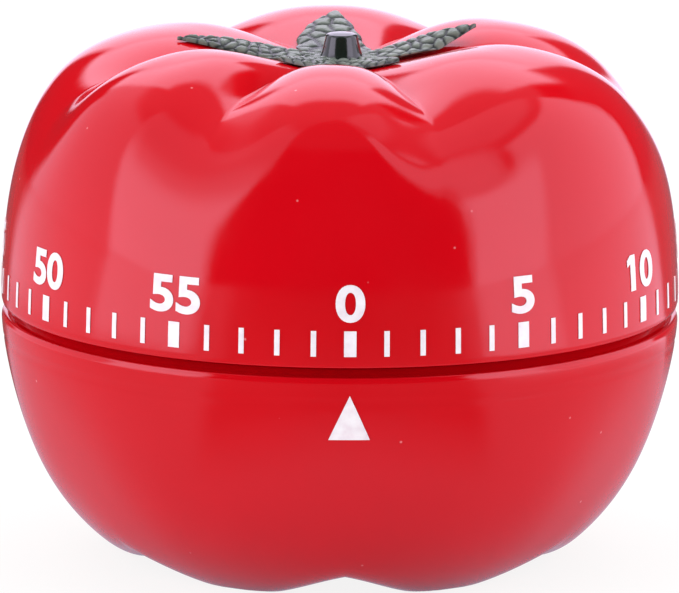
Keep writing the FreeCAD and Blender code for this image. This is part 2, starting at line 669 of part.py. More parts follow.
def calyx():
    """The ring of sepals, seated on the middle of the dome around the stalk's peg."""
    body = cyl(CALYX_SEAT_R, DOME_MID_Z, DOME_MID_Z + SEPAL_T)
    body = body.fuse(cyl(CALYX_HUB_R, DOME_MID_Z + SEPAL_LIFT, DOME_MID_Z + SEPAL_T))
    for row in SEPALS:
        body = body.fuse(sepal(*row))
    return bored(body, PEG_R)


def stalk():
    foot = DOME_MID_Z + SEPAL_T
    top = DOME_MID_Z + STALK_H
    flare = foot + 0.3 * (top - foot)
    mid_r = STALK_R + 0.2 * (STALK_BASE_R - STALK_R)
    body = fuse(cone(STALK_BASE_R, mid_r, foot, flare), cone(mid_r, STALK_R, flare, top))
    rim = [e for e in body.Edges if e.BoundBox.ZMin > top - 1e-3]
    body = body.makeFillet(0.25 * STALK_R, rim)
    return body.fuse(cyl(PEG_R, DOME_MID_Z - PEG_L, foot)).cut(calyx())


# ---------------------------------------------------------------- frame of the clockwork
def plate(z, ears):
    """Round plate with the pillars' and pivots' holes, and with ears for the mounting screws."""
    body = cyl(PLATE_R, z, z + PLATE_T)
    if ears:
        for angle in EAR_ANGLES:
            body = body.fuse(strip((0, 0), polar(EAR_R, angle), EAR_W, EAR_W, z, z + PLATE_T))
            body = body.fuse(cyl(EAR_W, z, z + PLATE_T, polar(EAR_R, angle)))
        for angle in EAR_ANGLES:
            body = bored(body, SCREW_R + HOLE_PLAY, polar(EAR_R, angle))
    for angle in PILLAR_ANGLES:
        body = bored(body, STUD_R, polar(PILLAR_CIRCLE, angle))
    for at in (SECOND_XY, THIRD_XY, ESCAPE_XY, PALLET_XY, STRIKE_XY):
        body = bored(body, PIVOT_R + FIT, at)
    return body


def back_plate():
    body = plate(BACK_Z, True)
    body = bored(body, ARBOR_PIVOT_R + FIT)
    body = bored(body, TRAIN_ARBOR_R + FIT, HAMMER_XY)
    return bored(body, LEVER_PIN_R, LEVER_XY).removeSplitter()


def front_plate():
    body = plate(FRONT_Z, False)
    body = bored(body, ARBOR_R + FIT)
    body = bored(body, PIVOT_R + FIT, HAMMER_XY)
    body = bored(body, SPRING_POST_R, SPRING_POST_XY)
    body = bored(body, STOP_PIN_R, STOP_XY)
    for angle in EAR_ANGLES:
        body = bored(body, SCREW_HEAD_R + CLEAR, polar(EAR_R, angle))
    return body.removeSplitter()


def pillars():
    solids = []
    for angle in PILLAR_ANGLES:
        at = polar(PILLAR_CIRCLE, angle)
        body = fuse(cyl(PILLAR_R, BACK_TOP, FRONT_Z, at),
                    cyl(STUD_R, BACK_Z, FRONT_TOP + NUT_H + THREAD_OUT, at),
                    cyl(STUD_R + RIVET_SPREAD, BACK_Z - RIVET_H, BACK_Z, at))
        solids.append(body)
    return Part.makeCompound(solids)


def pillar_nuts():
    return Part.makeCompound([
        hex_nut(NUT_AF, FRONT_TOP, FRONT_TOP + NUT_H, polar(PILLAR_CIRCLE, angle), STUD_R)
        for angle in PILLAR_ANGLES])


def slotted_head(radius, z0, z1, at, slot_deg):
    """Round screw head with a chamfered rim and a slot."""
    middle = (z0 + z1) / 2
    head = fuse(cyl(radius, z0, middle, at), cone(radius, HEAD_TAPER * radius, middle, z1, at))
    width = DRIVER_SLOT * radius
    slot = Part.makeBox(4 * radius, width, z1 - z0, V(-2 * radius, -width / 2, 0))
    return head.cut(moved(turned(slot, slot_deg), at, middle))


def movement_screws():
    solids = []
    for angle in EAR_ANGLES:
        at = polar(EAR_R, angle)
        head = slotted_head(SCREW_HEAD_R, BACK_TOP, BACK_TOP + SCREW_HEAD_H, at, angle + 20)
        solids.append(head.fuse(cyl(SCREW_R, BACK_Z - SCREW_L, BACK_TOP, at)).removeSplitter())
    return Part.makeCompound(solids)


def stop_pin():
    return cyl(STOP_PIN_R, FRONT_Z, FINGER_Z + FINGER_T + STOP_PIN_OUT, STOP_XY)


def thrust_washer():
    return ring(WASHER_R, ARBOR_R + WASHER_PLAY, FRONT_TOP, FRONT_TOP + WASHER_T)


def mainspring():
    """Spiral strip from the centre arbor out to its post."""
    inner_r = ARBOR_R + SPRING_T / 2 + SPRING_GAP
    steps = int(SPRING_TURNS * SPRING_STEPS)
    sides = []
    for offset in (SPRING_T / 2, -SPRING_T / 2):
        points = []
        for i in range(steps + 1):
            share = i / steps
            r = inner_r + (SPRING_OUT_R - inner_r) * share + offset
            x, y = polar(r, SPRING_END_A - 360.0 * SPRING_TURNS * (1 - share))
            points.append(V(x, y, SPRING_Z))
        curve = Part.BSplineCurve()
        curve.interpolate(points)
        sides.append((points, curve.toShape()))
    (outer, outer_edge), (inner, inner_edge) = sides
    wire = Part.Wire([outer_edge, Part.makeLine(outer[-1], inner[-1]), inner_edge,
                      Part.makeLine(inner[0], outer[0])])
    return Part.Face(wire).extrude(V(0, 0, SPRING_H))


def spring_post():
    return cyl(SPRING_POST_R, SPRING_Z - CLEAR, FRONT_TOP, SPRING_POST_XY)


def bell():
    """Cup that opens downwards, turned from a curved profile."""
    rim = BELL_TOP - BELL_H
    start = BELL_CROWN * BELL_R
    hole = BELL_SCREW_R + SHAKE
    sides = []
    for inset in (0.0, BELL_T):
        top = BELL_TOP - inset
        curve = Part.BezierCurve()
        curve.setPoles([V(start, 0, top), V(BELL_R - BELL_SHOULDER - inset, 0, top),
                        V(BELL_R - inset, 0, BELL_TOP - BELL_CURL * BELL_H), V(BELL_R - inset, 0, rim)])
        sides.append(curve.toShape())
        sides.append(Part.makeLine(V(hole, 0, top), V(start, 0, top)))
    sides.append(Part.makeLine(V(BELL_R, 0, rim), V(BELL_R - BELL_T, 0, rim)))
    sides.append(Part.makeLine(V(hole, 0, BELL_TOP - BELL_T), V(hole, 0, BELL_TOP)))
    face = Part.Face(Part.Wire(Part.__sortEdges__(sides)))
    return face.revolve(V(0, 0, 0), V(0, 0, 1), 360)


def bell_post():
    body = fuse(cyl(BELL_POST_R, FLOOR_Z, BELL_TOP - BELL_T), cyl(BELL_STUD_R, FLOOR_Z - FLOOR_T, FLOOR_Z))
    return body.cut(cyl(BELL_SCREW_R, BELL_TOP - BELL_T - BELL_SCREW_L, BELL_TOP))


def bell_screw():
    head = slotted_head(BELL_HEAD_R, BELL_TOP, BELL_TOP + BELL_SCREW_H, (0, 0), 35.0)
    return head.fuse(cyl(BELL_SCREW_R, BELL_TOP - BELL_T - BELL_SCREW_L + CLEAR, BELL_TOP)).removeSplitter()


# ---------------------------------------------------------------- what turns with the dial
def main_arbor():
    body = fuse(cyl(ARBOR_PIVOT_R, ARBOR_LOW, BACK_TOP + SHAKE),
                cyl(ARBOR_R, BACK_TOP + SHAKE, BOSS_Z - FLAT_BELOW),
                cyl(ARBOR_R + COLLAR_W, CAM_Z + WHEEL_T, MAIN_Z - SHAKE),
                d_section(BOSS_Z - FLAT_BELOW, ARBOR_TOP))
    return body


def ratchet_wheel():
    points = []
    for tooth in range(RATCHET_TEETH):
        a = 360.0 * tooth / RATCHET_TEETH
        points.append(polar(RATCHET_R, a))
        points.append(polar(RATCHET_R - RATCHET_DEPTH, a + RATCHET_RAKE))
    return bored(prism(points, RATCHET_Z, RATCHET_Z + RATCHET_T), ARBOR_R)


def release_cam():
    """Disc with one notch, into which the release lever's nose may drop at zero."""
    middle = (CAM_NOTCH_BACK + CAM_NOTCH_AHEAD) / 2
    high = [polar(CAM_R + CUT, NOSE_A + a) for a in (CAM_NOTCH_BACK, CAM_NOTCH_AHEAD)]
    low = [polar(CAM_R - CAM_NOTCH, NOSE_A + a) for a in (CAM_NOTCH_AHEAD, middle, CAM_NOTCH_BACK)]
    notch = prism(high + low, CAM_Z - CUT, CAM_Z + WHEEL_T + CUT)
    return bored(cyl(CAM_R, CAM_Z, CAM_Z + WHEEL_T).cut(notch), ARBOR_R)


def stop_finger():
    """Finger that meets the stop pin at either end of the dial's travel."""
    body = cyl(FINGER_HUB_R, FINGER_Z, FINGER_Z + FINGER_T)
    tip = polar(STOP_R + FINGER_OVER, STOP_A - (360.0 - DIAL_TRAVEL) / 2)
    body = body.fuse(strip((0, 0), tip, FINGER_HALF, FINGER_HALF, FINGER_Z, FINGER_Z + FINGER_T))
    return bored(body, ARBOR_R).removeSplitter()


# ---------------------------------------------------------------- main wheel and its click
def main_wheel():
    body = wheel(MODULE_1, MAIN_TEETH, MAIN_Z, MAIN_TOP, (0, 0), SECOND_A)
    body = bored(body, ARBOR_R + FIT)
    body = lightened(body, MAIN_HOLES, (0, 0), CLICK_A + 70.0)
    return bored(body, CLICK_PIN_R, CLICK_XY)


def click():
    top = MAIN_TOP + RATCHET_T
    nose = polar(RATCHET_R + CLICK_GAP, CLICK_A + CLICK_SPAN)
    body = cyl(CLICK_HUB_R, MAIN_TOP, top, CLICK_XY)
    body = body.fuse(strip(CLICK_XY, nose, CLICK_HALF, CLICK_NOSE_HALF, MAIN_TOP, top))
    return bored(body, CLICK_PIN_R, CLICK_XY).removeSplitter()


def click_rivet():
    top = MAIN_TOP + RATCHET_T
    return fuse(cyl(CLICK_PIN_R, MAIN_Z, top, CLICK_XY),
                cyl(CLICK_PIN_R + RIVET_SPREAD, top, top + RIVET_H, CLICK_XY))


def click_spring():
    (foot_r, foot_a), (end_r, end_a) = CLICK_SPRING_FOOT, CLICK_SPRING_END
    foot = polar(foot_r, CLICK_A + foot_a)
    end = polar(end_r, CLICK_A + end_a)
    half = CLICK_SPRING_T / 2
    body = cyl(CLICK_SPRING_R, MAIN_TOP, MAIN_TOP + CLICK_SPRING_H, foot)
    return body.fuse(strip(foot, end, half, half, MAIN_TOP, MAIN_TOP + CLICK_SPRING_H)).removeSplitter()


# ---------------------------------------------------------------- going train
def second_arbor():
    low = MAIN_Z + (MAIN_T - PINION_H) / 2
    return fuse(train_arbor(SECOND_XY),
                pinion(MODULE_1, low, low + PINION_H, SECOND_XY, SECOND_A + 180.0))


def second_wheel():
    body = wheel(MODULE_2, SECOND_TEETH, SECOND_Z, SECOND_Z + WHEEL_T, SECOND_XY,
                 bearing(SECOND_XY, THIRD_XY))
    return bored(lightened(body, SECOND_HOLES, SECOND_XY), TRAIN_ARBOR_R, SECOND_XY)


def third_arbor():
    middle = SECOND_Z + WHEEL_T / 2
    return fuse(train_arbor(THIRD_XY),
                pinion(MODULE_2, BACK_TOP + SHAKE, middle + PINION_H / 2, THIRD_XY,
                       bearing(THIRD_XY, SECOND_XY)))


def third_wheel():
    body = wheel(MODULE_3, THIRD_TEETH, THIRD_Z, THIRD_Z + WHEEL_T, THIRD_XY, bearing(THIRD_XY, ESCAPE_XY))
    return bored(lightened(body, THIRD_HOLES, THIRD_XY), TRAIN_ARBOR_R, THIRD_XY)


def escape_arbor():
    low = THIRD_Z + (WHEEL_T - PINION_H) / 2
    return fuse(train_arbor(ESCAPE_XY),
                pinion(MODULE_3, low, low + PINION_H, ESCAPE_XY, bearing(ESCAPE_XY, THIRD_XY)))


def escape_wheel():
    body = star(ESCAPE_R, ESCAPE_TEETH, ESCAPE_Z, ESCAPE_Z + WHEEL_T, ESCAPE_XY,
                bearing(ESCAPE_XY, PALLET_XY), TRAIN_ARBOR_R)
    return lightened(body, ESCAPE_HOLES, ESCAPE_XY)


def pallet():
    body = anchor(PALLET_REACH, ESCAPE_R, ESCAPE_SPREAD * 360.0 / ESCAPE_TEETH,
                  ESCAPE_Z, ESCAPE_Z + WHEEL_T, TRAIN_ARBOR_R)
    return moved(turned(body, bearing(PALLET_XY, ESCAPE_XY)), PALLET_XY)


def pallet_arbor():
    return train_arbor(PALLET_XY)


def balance_bar():
    z0, z1 = BAR_Z, BAR_Z + WHEEL_T
    along = bearing(PALLET_XY, ESCAPE_XY) + 90.0
    body = cyl(HUB_R, z0, z1, PALLET_XY)
    for side in (0.0, 180.0):
        end = beyond(PALLET_XY, BAR_HALF, along + side)
        body = body.fuse(strip(PALLET_XY, end, ARM_HALF, ARM_HALF, z0, z1))
        body = body.fuse(cyl(BAR_WEIGHT_R, z0, z1 + BAR_WEIGHT_RISE, end))
    return bored(body, TRAIN_ARBOR_R, PALLET_XY).removeSplitter()


# ---------------------------------------------------------------- striking work
def strike_arbor():
    low = MAIN_Z + (MAIN_T - PINION_H) / 2
    return fuse(train_arbor(STRIKE_XY),
                pinion(MODULE_1, low, low + PINION_H, STRIKE_XY, STRIKE_A + 180.0))


def strike_wheel():
    body = star(STRIKE_R, STRIKE_TEETH, STRIKE_Z, STRIKE_Z + WHEEL_T, STRIKE_XY,
                bearing(STRIKE_XY, HAMMER_XY), TRAIN_ARBOR_R)
    return lightened(body, STRIKE_HOLES, STRIKE_XY)


def hammer_verge():
    body = anchor(HAMMER_REACH, STRIKE_R, STRIKE_SPREAD * 360.0 / STRIKE_TEETH,
                  STRIKE_Z, STRIKE_Z + WHEEL_T, TRAIN_ARBOR_R)
    return moved(turned(body, bearing(HAMMER_XY, STRIKE_XY)), HAMMER_XY)


def hammer_arbor():
    return fuse(cyl(TRAIN_ARBOR_R, HAMMER_Z, FRONT_Z - SHAKE, HAMMER_XY),
                cyl(PIVOT_R, FRONT_Z - SHAKE, FRONT_TOP, HAMMER_XY),
                cyl(TRAIN_ARBOR_R + RIVET_SPREAD, BACK_TOP + SHAKE, CAM_Z, HAMMER_XY))


def hammer_tail():
    z0, z1 = CAM_Z, CAM_Z + WHEEL_T
    body = cyl(HUB_R, z0, z1, HAMMER_XY)
    body = body.fuse(strip(HAMMER_XY, HAMMER_TAIL_XY, ARM_HALF, ARM_TIP_HALF, z0, z1))
    return bored(body, TRAIN_ARBOR_R, HAMMER_XY).removeSplitter()


def hammer_arm():
    z0, z1 = HAMMER_Z, HAMMER_Z + WHEEL_T
    body = cyl(HUB_R, z0, z1 + HUB_RISE, HAMMER_XY)
    body = body.fuse(strip(HAMMER_XY, HEAD_XY, ARM_HALF, ARM_HALF, z0, z1))
    body = body.fuse(cyl(HEAD_PIN_R + ARM_TIP_HALF, z0, z1, HEAD_XY))
    body = bored(body, TRAIN_ARBOR_R, HAMMER_XY)
    return bored(body, HEAD_PIN_R, HEAD_XY).removeSplitter()


def hammer_head():
    z0, z1 = HAMMER_Z, HAMMER_Z + WHEEL_T
    head = cyl(HAMMER_HEAD_R, z0 - HEAD_H, z0, HEAD_XY)
    head = head.makeFillet(HEAD_ROUND, [e for e in head.Edges if e.Curve.TypeId == "Part::GeomCircle"])
    return head.fuse(cyl(HEAD_PIN_R, z0 - HEAD_H / 2, z1 + HEAD_PIN_OUT, HEAD_XY))


def release_lever():
    z0, z1 = CAM_Z, CAM_Z + WHEEL_T
    nose = polar(CAM_R + NOSE_GAP, NOSE_A)
    body = cyl(LEVER_HUB_R, z0, z1, LEVER_XY)
    body = body.fuse(strip(LEVER_XY, ELBOW_XY, LEVER_HALF, ARM_HALF, z0, z1))
    body = body.fuse(cyl(ARM_HALF, z0, z1, ELBOW_XY))
    body = body.fuse(strip(ELBOW_XY, nose, ARM_HALF, NOSE_HALF, z0, z1))
    body = body.fuse(strip(LEVER_XY, LEVER_TAIL_XY, LEVER_HALF, ARM_TIP_HALF, z0, z1))
    return bored(body, LEVER_PIN_R + FIT, LEVER_XY).removeSplitter()


def lever_pin():
    top = CAM_Z + WHEEL_T + SHAKE
    return fuse(cyl(LEVER_PIN_R, BACK_Z, top, LEVER_XY),
                cyl(LEVER_PIN_R + RIVET_SPREAD, top, top + RIVET_H, LEVER_XY),
                cyl(LEVER_PIN_R + RIVET_SPREAD, BACK_TOP, CAM_Z - SHAKE, LEVER_XY))


PARTS = {
    "upper_shell": upper_shell, "calyx": calyx, "stalk": stalk, "main_arbor": main_arbor,
    "ratchet_wheel": ratchet_wheel, "release_cam": release_cam, "stop_finger": stop_finger,
    "lower_shell": lower_shell, "back_plate": back_plate, "front_plate": front_plate,
    "pillars": pillars, "pillar_nuts": pillar_nuts, "movement_screws": movement_screws,
    "stop_pin": stop_pin, "thrust_washer": thrust_washer, "mainspring": mainspring,
    "spring_post": spring_post, "bell": bell, "bell_post": bell_post, "bell_screw": bell_screw,
    "lever_pin": lever_pin,
    "main_wheel": main_wheel, "click": click, "click_rivet": click_rivet, "click_spring": click_spring,
    "second_arbor": second_arbor, "second_wheel": second_wheel,
    "third_arbor": third_arbor, "third_wheel": third_wheel,
    "escape_arbor": escape_arbor, "escape_wheel": escape_wheel,
    "pallet": pallet, "pallet_arbor": pallet_arbor, "balance_bar": balance_bar,
    "strike_arbor": strike_arbor, "strike_wheel": strike_wheel,
    "hammer_arbor": hammer_arbor, "hammer_verge": hammer_verge, "hammer_tail": hammer_tail,
    "hammer_arm": hammer_arm, "hammer_head": hammer_head,
    "release_lever": release_lever,
}


def main():
    os.makedirs("parts", exist_ok=True)
    for name, make in PARTS.items():
        shape = make()
        solids = shape.Solids
        print(f"{name:16s} solids {len(solids)} valid {shape.isValid()} volume {shape.Volume:.2f}")
        if len(solids) == 1:
            shape = solids[0]
        shape.exportStep(f"parts/{name}.step")


if __name__ == "__main__":
    main()
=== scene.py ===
import math

import bmesh
import bpy
import numpy as np
from mathutils import Matrix, Vector
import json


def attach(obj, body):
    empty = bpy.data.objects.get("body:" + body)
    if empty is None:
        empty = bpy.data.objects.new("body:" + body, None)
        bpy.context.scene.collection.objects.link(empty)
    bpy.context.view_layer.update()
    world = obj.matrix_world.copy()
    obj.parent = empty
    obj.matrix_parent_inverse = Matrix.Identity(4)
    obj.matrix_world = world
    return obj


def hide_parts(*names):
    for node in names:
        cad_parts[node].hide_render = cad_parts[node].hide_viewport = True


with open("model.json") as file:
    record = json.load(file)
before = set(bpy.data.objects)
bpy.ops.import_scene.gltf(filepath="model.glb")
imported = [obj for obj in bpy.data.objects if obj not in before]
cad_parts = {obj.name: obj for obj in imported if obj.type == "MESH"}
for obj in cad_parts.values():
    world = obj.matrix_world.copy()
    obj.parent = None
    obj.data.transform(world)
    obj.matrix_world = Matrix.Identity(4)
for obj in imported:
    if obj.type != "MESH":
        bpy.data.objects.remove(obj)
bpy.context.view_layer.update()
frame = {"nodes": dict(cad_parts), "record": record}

MM = 0.001

# ---------------------------------------------------------------- body, in millimetres
BODY_R = 32.5
UPPER_EDGE_Z = 24.5
LOWER_EDGE_Z = 23.5
DOME_MID_Z = 47.3
STEM_SEAT_R = 3.0
WALL = 2.0
FLOOR_Z = 4.6                   # top of the lower half's floor
FLOOR_T = 2.2
AXIS_R = 0.05                   # tiny ring that closes that floor at the axis
RIM_ROUND = 0.3                 # rounding of both rims
RIM_TUCK = 0.35                 # how far the upper rim draws in, as a share of its rounding
EDGE_TUCK = 0.16                # how far the lower rim draws in
RIM_FACE = 0.5                  # flat face of both rims
GROOVE_AT, GROOVE_DEEP, GROOVE_WIDE = 2.4, 0.07, 0.22   # fine groove below the lower rim
LIP_OUT_R = 30.2                # inner lip of the lower half
LIP_T = 1.1
LIP_H = 2.4
LIP_FOOT = 0.3                  # where its inner face starts, below the edge
STEP_R = 31.4                   # step behind the seam
STEP_H = 0.7
CHAMFER = 0.3                   # of both kinds of bosses
ARBOR_BOSS_Z = 34.8             # boss under the dome that takes the arbor
ARBOR_BOSS_R = 4.5
ARBOR_BORE_R = 1.8
ROOF_Z = 45.3                   # inner side of the dome's middle
ROOF_SINK = 0.4                 # how far the boss goes into it
ROOF_HOLE_R = 1.6               # hole through the dome's middle
INNER_MIN_R, INNER_MAX_Z = 1.7, 49.4    # limits of the upper half's inner wall
SCREW_BOSS_R = 3.0              # bosses that carry the clockwork
SCREW_HOLE_R = 1.25
SCREW_BOSS_Z = 14.0
SCREW_BOSS_FOOT_Z = 10.5
SCREW_BOSS_CIRCLE = 25.8
SCREW_BOSS_ANGLES = (0.0, 120.0, 240.0)
SLOTS, SLOT_FIRST = 6, 30.0     # sound slots in the lower half's floor
SLOT_L, SLOT_W, SLOT_R = 8.0, 1.6, 10.0
SLOT_CUT_Z = (-2.0, 7.0)

# Poles of the meridians: distance out from BODY_R, and height from the half's edge.
UPPER_CREASE = [(0.0, 0.0), (-0.1, 6.3), (-1.0, 14.9), (-7.1, 22.3), (-14.5, 22.8), (-19.0, 23.4),
                (-24.1, 23.4)]
UPPER_LOBE = [(0.0, 0.0), (-0.1, 6.3), (-1.0, 14.9), (-5.2, 23.4), (-14.0, 25.9), (-19.0, 25.6),
              (-24.1, 24.0)]
LOWER_CREASE = [(0.0, 0.0), (0.0, -3.1), (-4.3, -14.7), (-8.5, -22.4), (-15.5, -20.6), (-26.5, -20.1)]
LOWER_LOBE = [(0.0, 0.0), (0.0, -3.1), (-2.9, -16.8), (-12.3, -24.3), (-15.5, -24.3), (-26.5, -22.0)]
UPPER_CREASES_DEG = [-28.0, 18.0, 93.7, 150.0, 214.1, 283.6]
UPPER_SWELL = [0.9, 1.12, 0.95, 0.96, 0.92, 1.05]
UPPER_POWERS = (3.4, 2.5)
LOWER_CREASES_DEG = [0.0, 60.0, 120.0, 180.0, 240.0, 300.0]
LOWER_SWELL = [1.0] * 6
LOWER_POWERS = (2.7, 2.25)
SOFT_POLES = 4                  # poles, counted from the edge, that take the first power

# Samples across a lobe, and along a meridian as shares of its spline, close together at the rim.
PER_LOBE = 72
OUT_SHARES = np.concatenate([np.linspace(0, 0.02, 12), np.linspace(0.025, 1, 140)])
IN_SHARES = np.linspace(0, 0.97, 40)
FINE = np.linspace(0, 1, 401)
DOME_STEPS = 4                  # meridians kept for each degree, where a height is looked up
TURNED_SIDES, SCREW_BOSS_SIDES, SLOT_ARC = 96, 40, 9
DEGREE = 3                      # of the meridians' splines
TINY = 1e-9
SHORTEST = 1e-6                 # shortest step along a meridian

# ---------------------------------------------------------------- print, in millimetres
INK_LIFT, INK_T = 0.03, 0.05
MINUTES, MARKED, MINUTE_DEG = 60, 5, 6.0
TICK_LOW = 25.6
TICK_H = 2.4
MINUTE_HALF = 0.25
FIVE_HALF = 0.575
TICK_GRID = (4, 5)
NUMERAL_H = 3.5
NUMERAL_GAP = 0.8
NUMERAL_BOLD = 0.03             # as a share of the type size
NUMERAL_WIDE = 1.2
NUMERAL_ARC = 8                 # steps of each curve in the type
JOIN = 1e-5                     # points of the type nearer than this are one
STRIPS, STRIP_W = 8, 0.45       # upright cuts on each side of the middle
BANDS, BAND_H = 5, 0.6          # level cuts
FLAG_W = 0.55                   # flag of the 1, with its tip and root as shares of the height
FLAG_TIP, FLAG_ROOT = (0.68, 0.86), (0.77, 0.985)
POINTER_TOP = 21.9
POINTER_W = 4.0
POINTER_H = 4.4
POINTER_ROWS = 12

# ---------------------------------------------------------------- sepals and stem, in millimetres
LEAF_T = 0.7
LEAF_LIFT = 0.15
LEAF_FOOT_R = 1.8
LEAF_ALONG, LEAF_ACROSS = 150, 61
# Half width of a sepal, as shares of its widest, at shares of its length.
LEAF_SHARE = [0.0, 0.12, 0.3, 0.5, 0.7, 0.85, 0.95, 1.0]
LEAF_WIDTH = [0.8, 0.95, 1.0, 0.9, 0.62, 0.34, 0.13, 0.02]
# Bearing from the front, reach, half width, rise at the tip, sideways bow.
LEAVES = [
    (181.0, 13.7, 3.5, 0.0, 1.0),
    (103.0, 13.3, 2.2, 1.3, 0.0),
    (-92.5, 15.7, 2.2, 0.0, 0.0),
    (-40.0, 9.7, 1.9, 0.0, 0.0),
    (36.0, 9.3, 1.9, 0.0, 0.0),
]
PHASE_SPAN = 6.28
EDGE_WAVES = ((0.05, 9), (0.03, 23))    # size as a share of the width, rate along the leaf
SWAY, SWAY_RATE = 0.3, 2.2
SEAT_RISE = 0.1                 # lowest seat of a sepal above the dome's middle
EDGE_POWER = 3.0
TIP_SHARE = 0.06                # part of the length over which the tip closes
EDGE_BODY = 0.3                 # thickness left at the edge, as a share
TIP_THINNING = 0.55
BODY_SHARE, RELIEF_SHARE = 0.72, 0.8
CELL_RELIEF, GRAIN_RELIEF = 0.42, 0.05
VEIN_DEEP, VEIN_WIDE = 0.12, 0.05
EDGE_CURL = 0.1
# How much the fine grain darkens the pebbles' tone in its grooves, as painted shade, and the fixed tone of
# the undersides.
GRAIN_SHADE_TONE, UNDER_TONE = 0.2, 0.4
CELL_BASE, CELL_SHARE, GRAIN_SIZE = 0.2, 0.45, 0.5
PEBBLE_REACH, PEBBLE_SHIFT = 44, 0.42   # half size of the field of cells, shift in cells
NEAR = 2                        # cells searched on each side
PEBBLE_GROOVE, PEBBLE_POWER = 0.28, 1.6
LEAF_SEED, CELL_SEED, GRAIN_SEED, HUB_SEED = 11, 50, 90, 5
HUB_R, HUB_W, HUB_CELL = 1.2, 2.5, 1.1  # pebbled ring where the sepals meet
HUB_ROWS, HUB_COLS = 26, 120
HUB_DROP_R, HUB_DROP_W = 2.9, 0.8
HUB_BODY, HUB_RELIEF = 0.75, 0.4
STEM_FOOT, STEM_TOP = 0.55, 3.1         # above the dome's middle
# Radius and height above the foot, then radius and depth below the top.
STEM_FLARE = [(0.02, 0.0), (2.1, 0.0), (2.15, 0.08), (2.1, 0.2), (1.98, 0.42), (1.85, 0.75), (1.74, 1.2),
              (1.62, 1.7)]
STEM_NECK = (1.53, 0.48)
STEM_CROWN = [(1.0, 0.075), (0.6, 0.03), (0.3, 0.012), (0.02, 0.0)]
STEM_ROUND_AT, STEM_ROUND, STEM_ROUND_STEPS = (1.14, 0.44), (0.38, 0.32), 8
STEM_WAVES = ((0.012, 3, 0.6), (0.006, 7, 0.0))         # share of the radius, number round it, start

# ---------------------------------------------------------------- looks
RED_A = (0.60, 0.0012, 0.0065)
RED_B = (0.56, 0.0012, 0.0055)
SPECK = (0.9, 0.42, 0.45)
SPECK_CELLS, SPECK_EDGE, SPECK_RARE, SPECK_SHARE = 620.0, (0.04, 0.1), (0.93, 0.94), 0.5
RED_GLOSS, RED_IOR = (0.06, 0.11), 1.5
INK_A = (0.9, 0.87, 0.92)
INK_B = (0.78, 0.68, 0.76)
INK_ROUGH = 0.38
LEAF_A = (0.12, 0.145, 0.125)
LEAF_B = (0.21, 0.24, 0.215)
# Painted shade in the grooves between the pebbles: their near-black colour, and the part of the pebble tone
# over which it gives way to the green.
LEAF_GROOVE_SHADE = (0.012, 0.018, 0.015)
LEAF_ROUGH, GROOVE_SHADE_TONES = (0.2, 0.36), (0.05, 0.75)
STEM_A = (0.006, 0.010, 0.008)
STEM_B = (0.022, 0.034, 0.026)
STEM_ROUGH, STEM_COAT, STEM_COAT_ROUGH = (0.12, 0.22), 0.6, 0.08
# Noise: scale, detail, and where set, roughness and stretch.
RED_CLOUD = (60.0, 2.0)
RED_SMEAR = (140.0, 4.0)
RED_PEEL = (330.0, 2.0)
INK_WEAR = (900.0, 3.0)
LEAF_PATCH = (260.0, 4.0)
LEAF_GRAIN = (2600.0, 3.0)
STEM_STREAK = (300.0, 3.0, 0.5, (1.0, 1.0, 0.12))
METAL_GRAIN = (420.0, 5.0, 0.6)
METAL_STAIN = (70.0, 3.0)
PLASTIC_GRAIN = (500.0, 4.0)
# Parts of a noise's range that are used.
MIDDLE, UPPER_PART, LONG_PART = (0.3, 0.7), (0.35, 0.7), (0.3, 0.75)
WHOLE = (0.0, 1.0)
# Bumps: strength, distance in metres.
RED_BUMP = (0.06, 0.0002)
INK_BUMP = (0.1, 0.0001)
LEAF_BUMP = (0.25, 0.0001)
STEM_BUMP = (0.15, 0.0002)
METAL_BUMP = (0.12, 0.0002)
PLASTIC_BUMP = (0.1, 0.0002)
METAL_ROUGH, PLASTIC_ROUGH = (0.75, 1.3), (0.85, 1.15)  # times the finish's own roughness
# Slot: name, light and dark colour, roughness, stretch of the grain.
METALS = {
    "plate_brass": ("rolled_brass", (0.78, 0.58, 0.26), (0.62, 0.42, 0.17), 0.32, (1.0, 8.0, 1.0)),
    "brass": ("cut_brass", (0.82, 0.62, 0.30), (0.66, 0.46, 0.19), 0.24, (1.0, 1.0, 6.0)),
    "steel": ("turned_steel", (0.58, 0.58, 0.60), (0.42, 0.42, 0.44), 0.27, (1.0, 1.0, 9.0)),
    "bell": ("polished_bell", (0.82, 0.82, 0.84), (0.68, 0.69, 0.72), 0.12, (1.0, 1.0, 3.0)),
    "spring_steel": ("blued_spring", (0.22, 0.26, 0.36), (0.13, 0.14, 0.20), 0.25, (1.0, 1.0, 7.0)),
}
NYLON = ("pale_nylon", (0.82, 0.80, 0.74), (0.70, 0.68, 0.62), 0.45)

# ---------------------------------------------------------------- studio, in metres and degrees
WORLD_FILL = 0.5
GLOW_TINT = (1.0, 0.9, 1.15)
# Soft patches of brightness on the tent, each covering those before it:
# bearing from, to, height angle from, to, soft across, soft up, radiance.
TENT_R = 2.6
TENT_TURNS, TENT_LIFTS = 180, 62
TENT_LOW, TENT_SPAN = -2.0, 92.0
TENT_START = 0.02
TENT = [
    (-180, 180, 56, 120, 1, 8, 0.14),
    (44, 316, 50, 120, 8, 6, 0.35),
    (272, 316, 36, 70, 6, 10, 0.75),
    (60, 130, 60, 84, 10, 6, 0.75),
    (208, 284, -30, 50, 4, 10, 0.9),
    (62, 130, -30, 53, 4, 4, 1.5),
    (274, 312, -30, 34, 5, 26, 2.7),
    (44, 72, -30, 36, 5, 14, 2.5),
    (44, 58, 34, 66, 4, 6, 1.2),
    (150, 210, 26, 63, 6, 8, 2.2),
    (163, 197, -30, 32, 4, 6, 1.6),
    (133, 163, -30, 36, 3, 6, 0.1),
    (194, 216, -30, 28, 3, 6, 0.04),
]
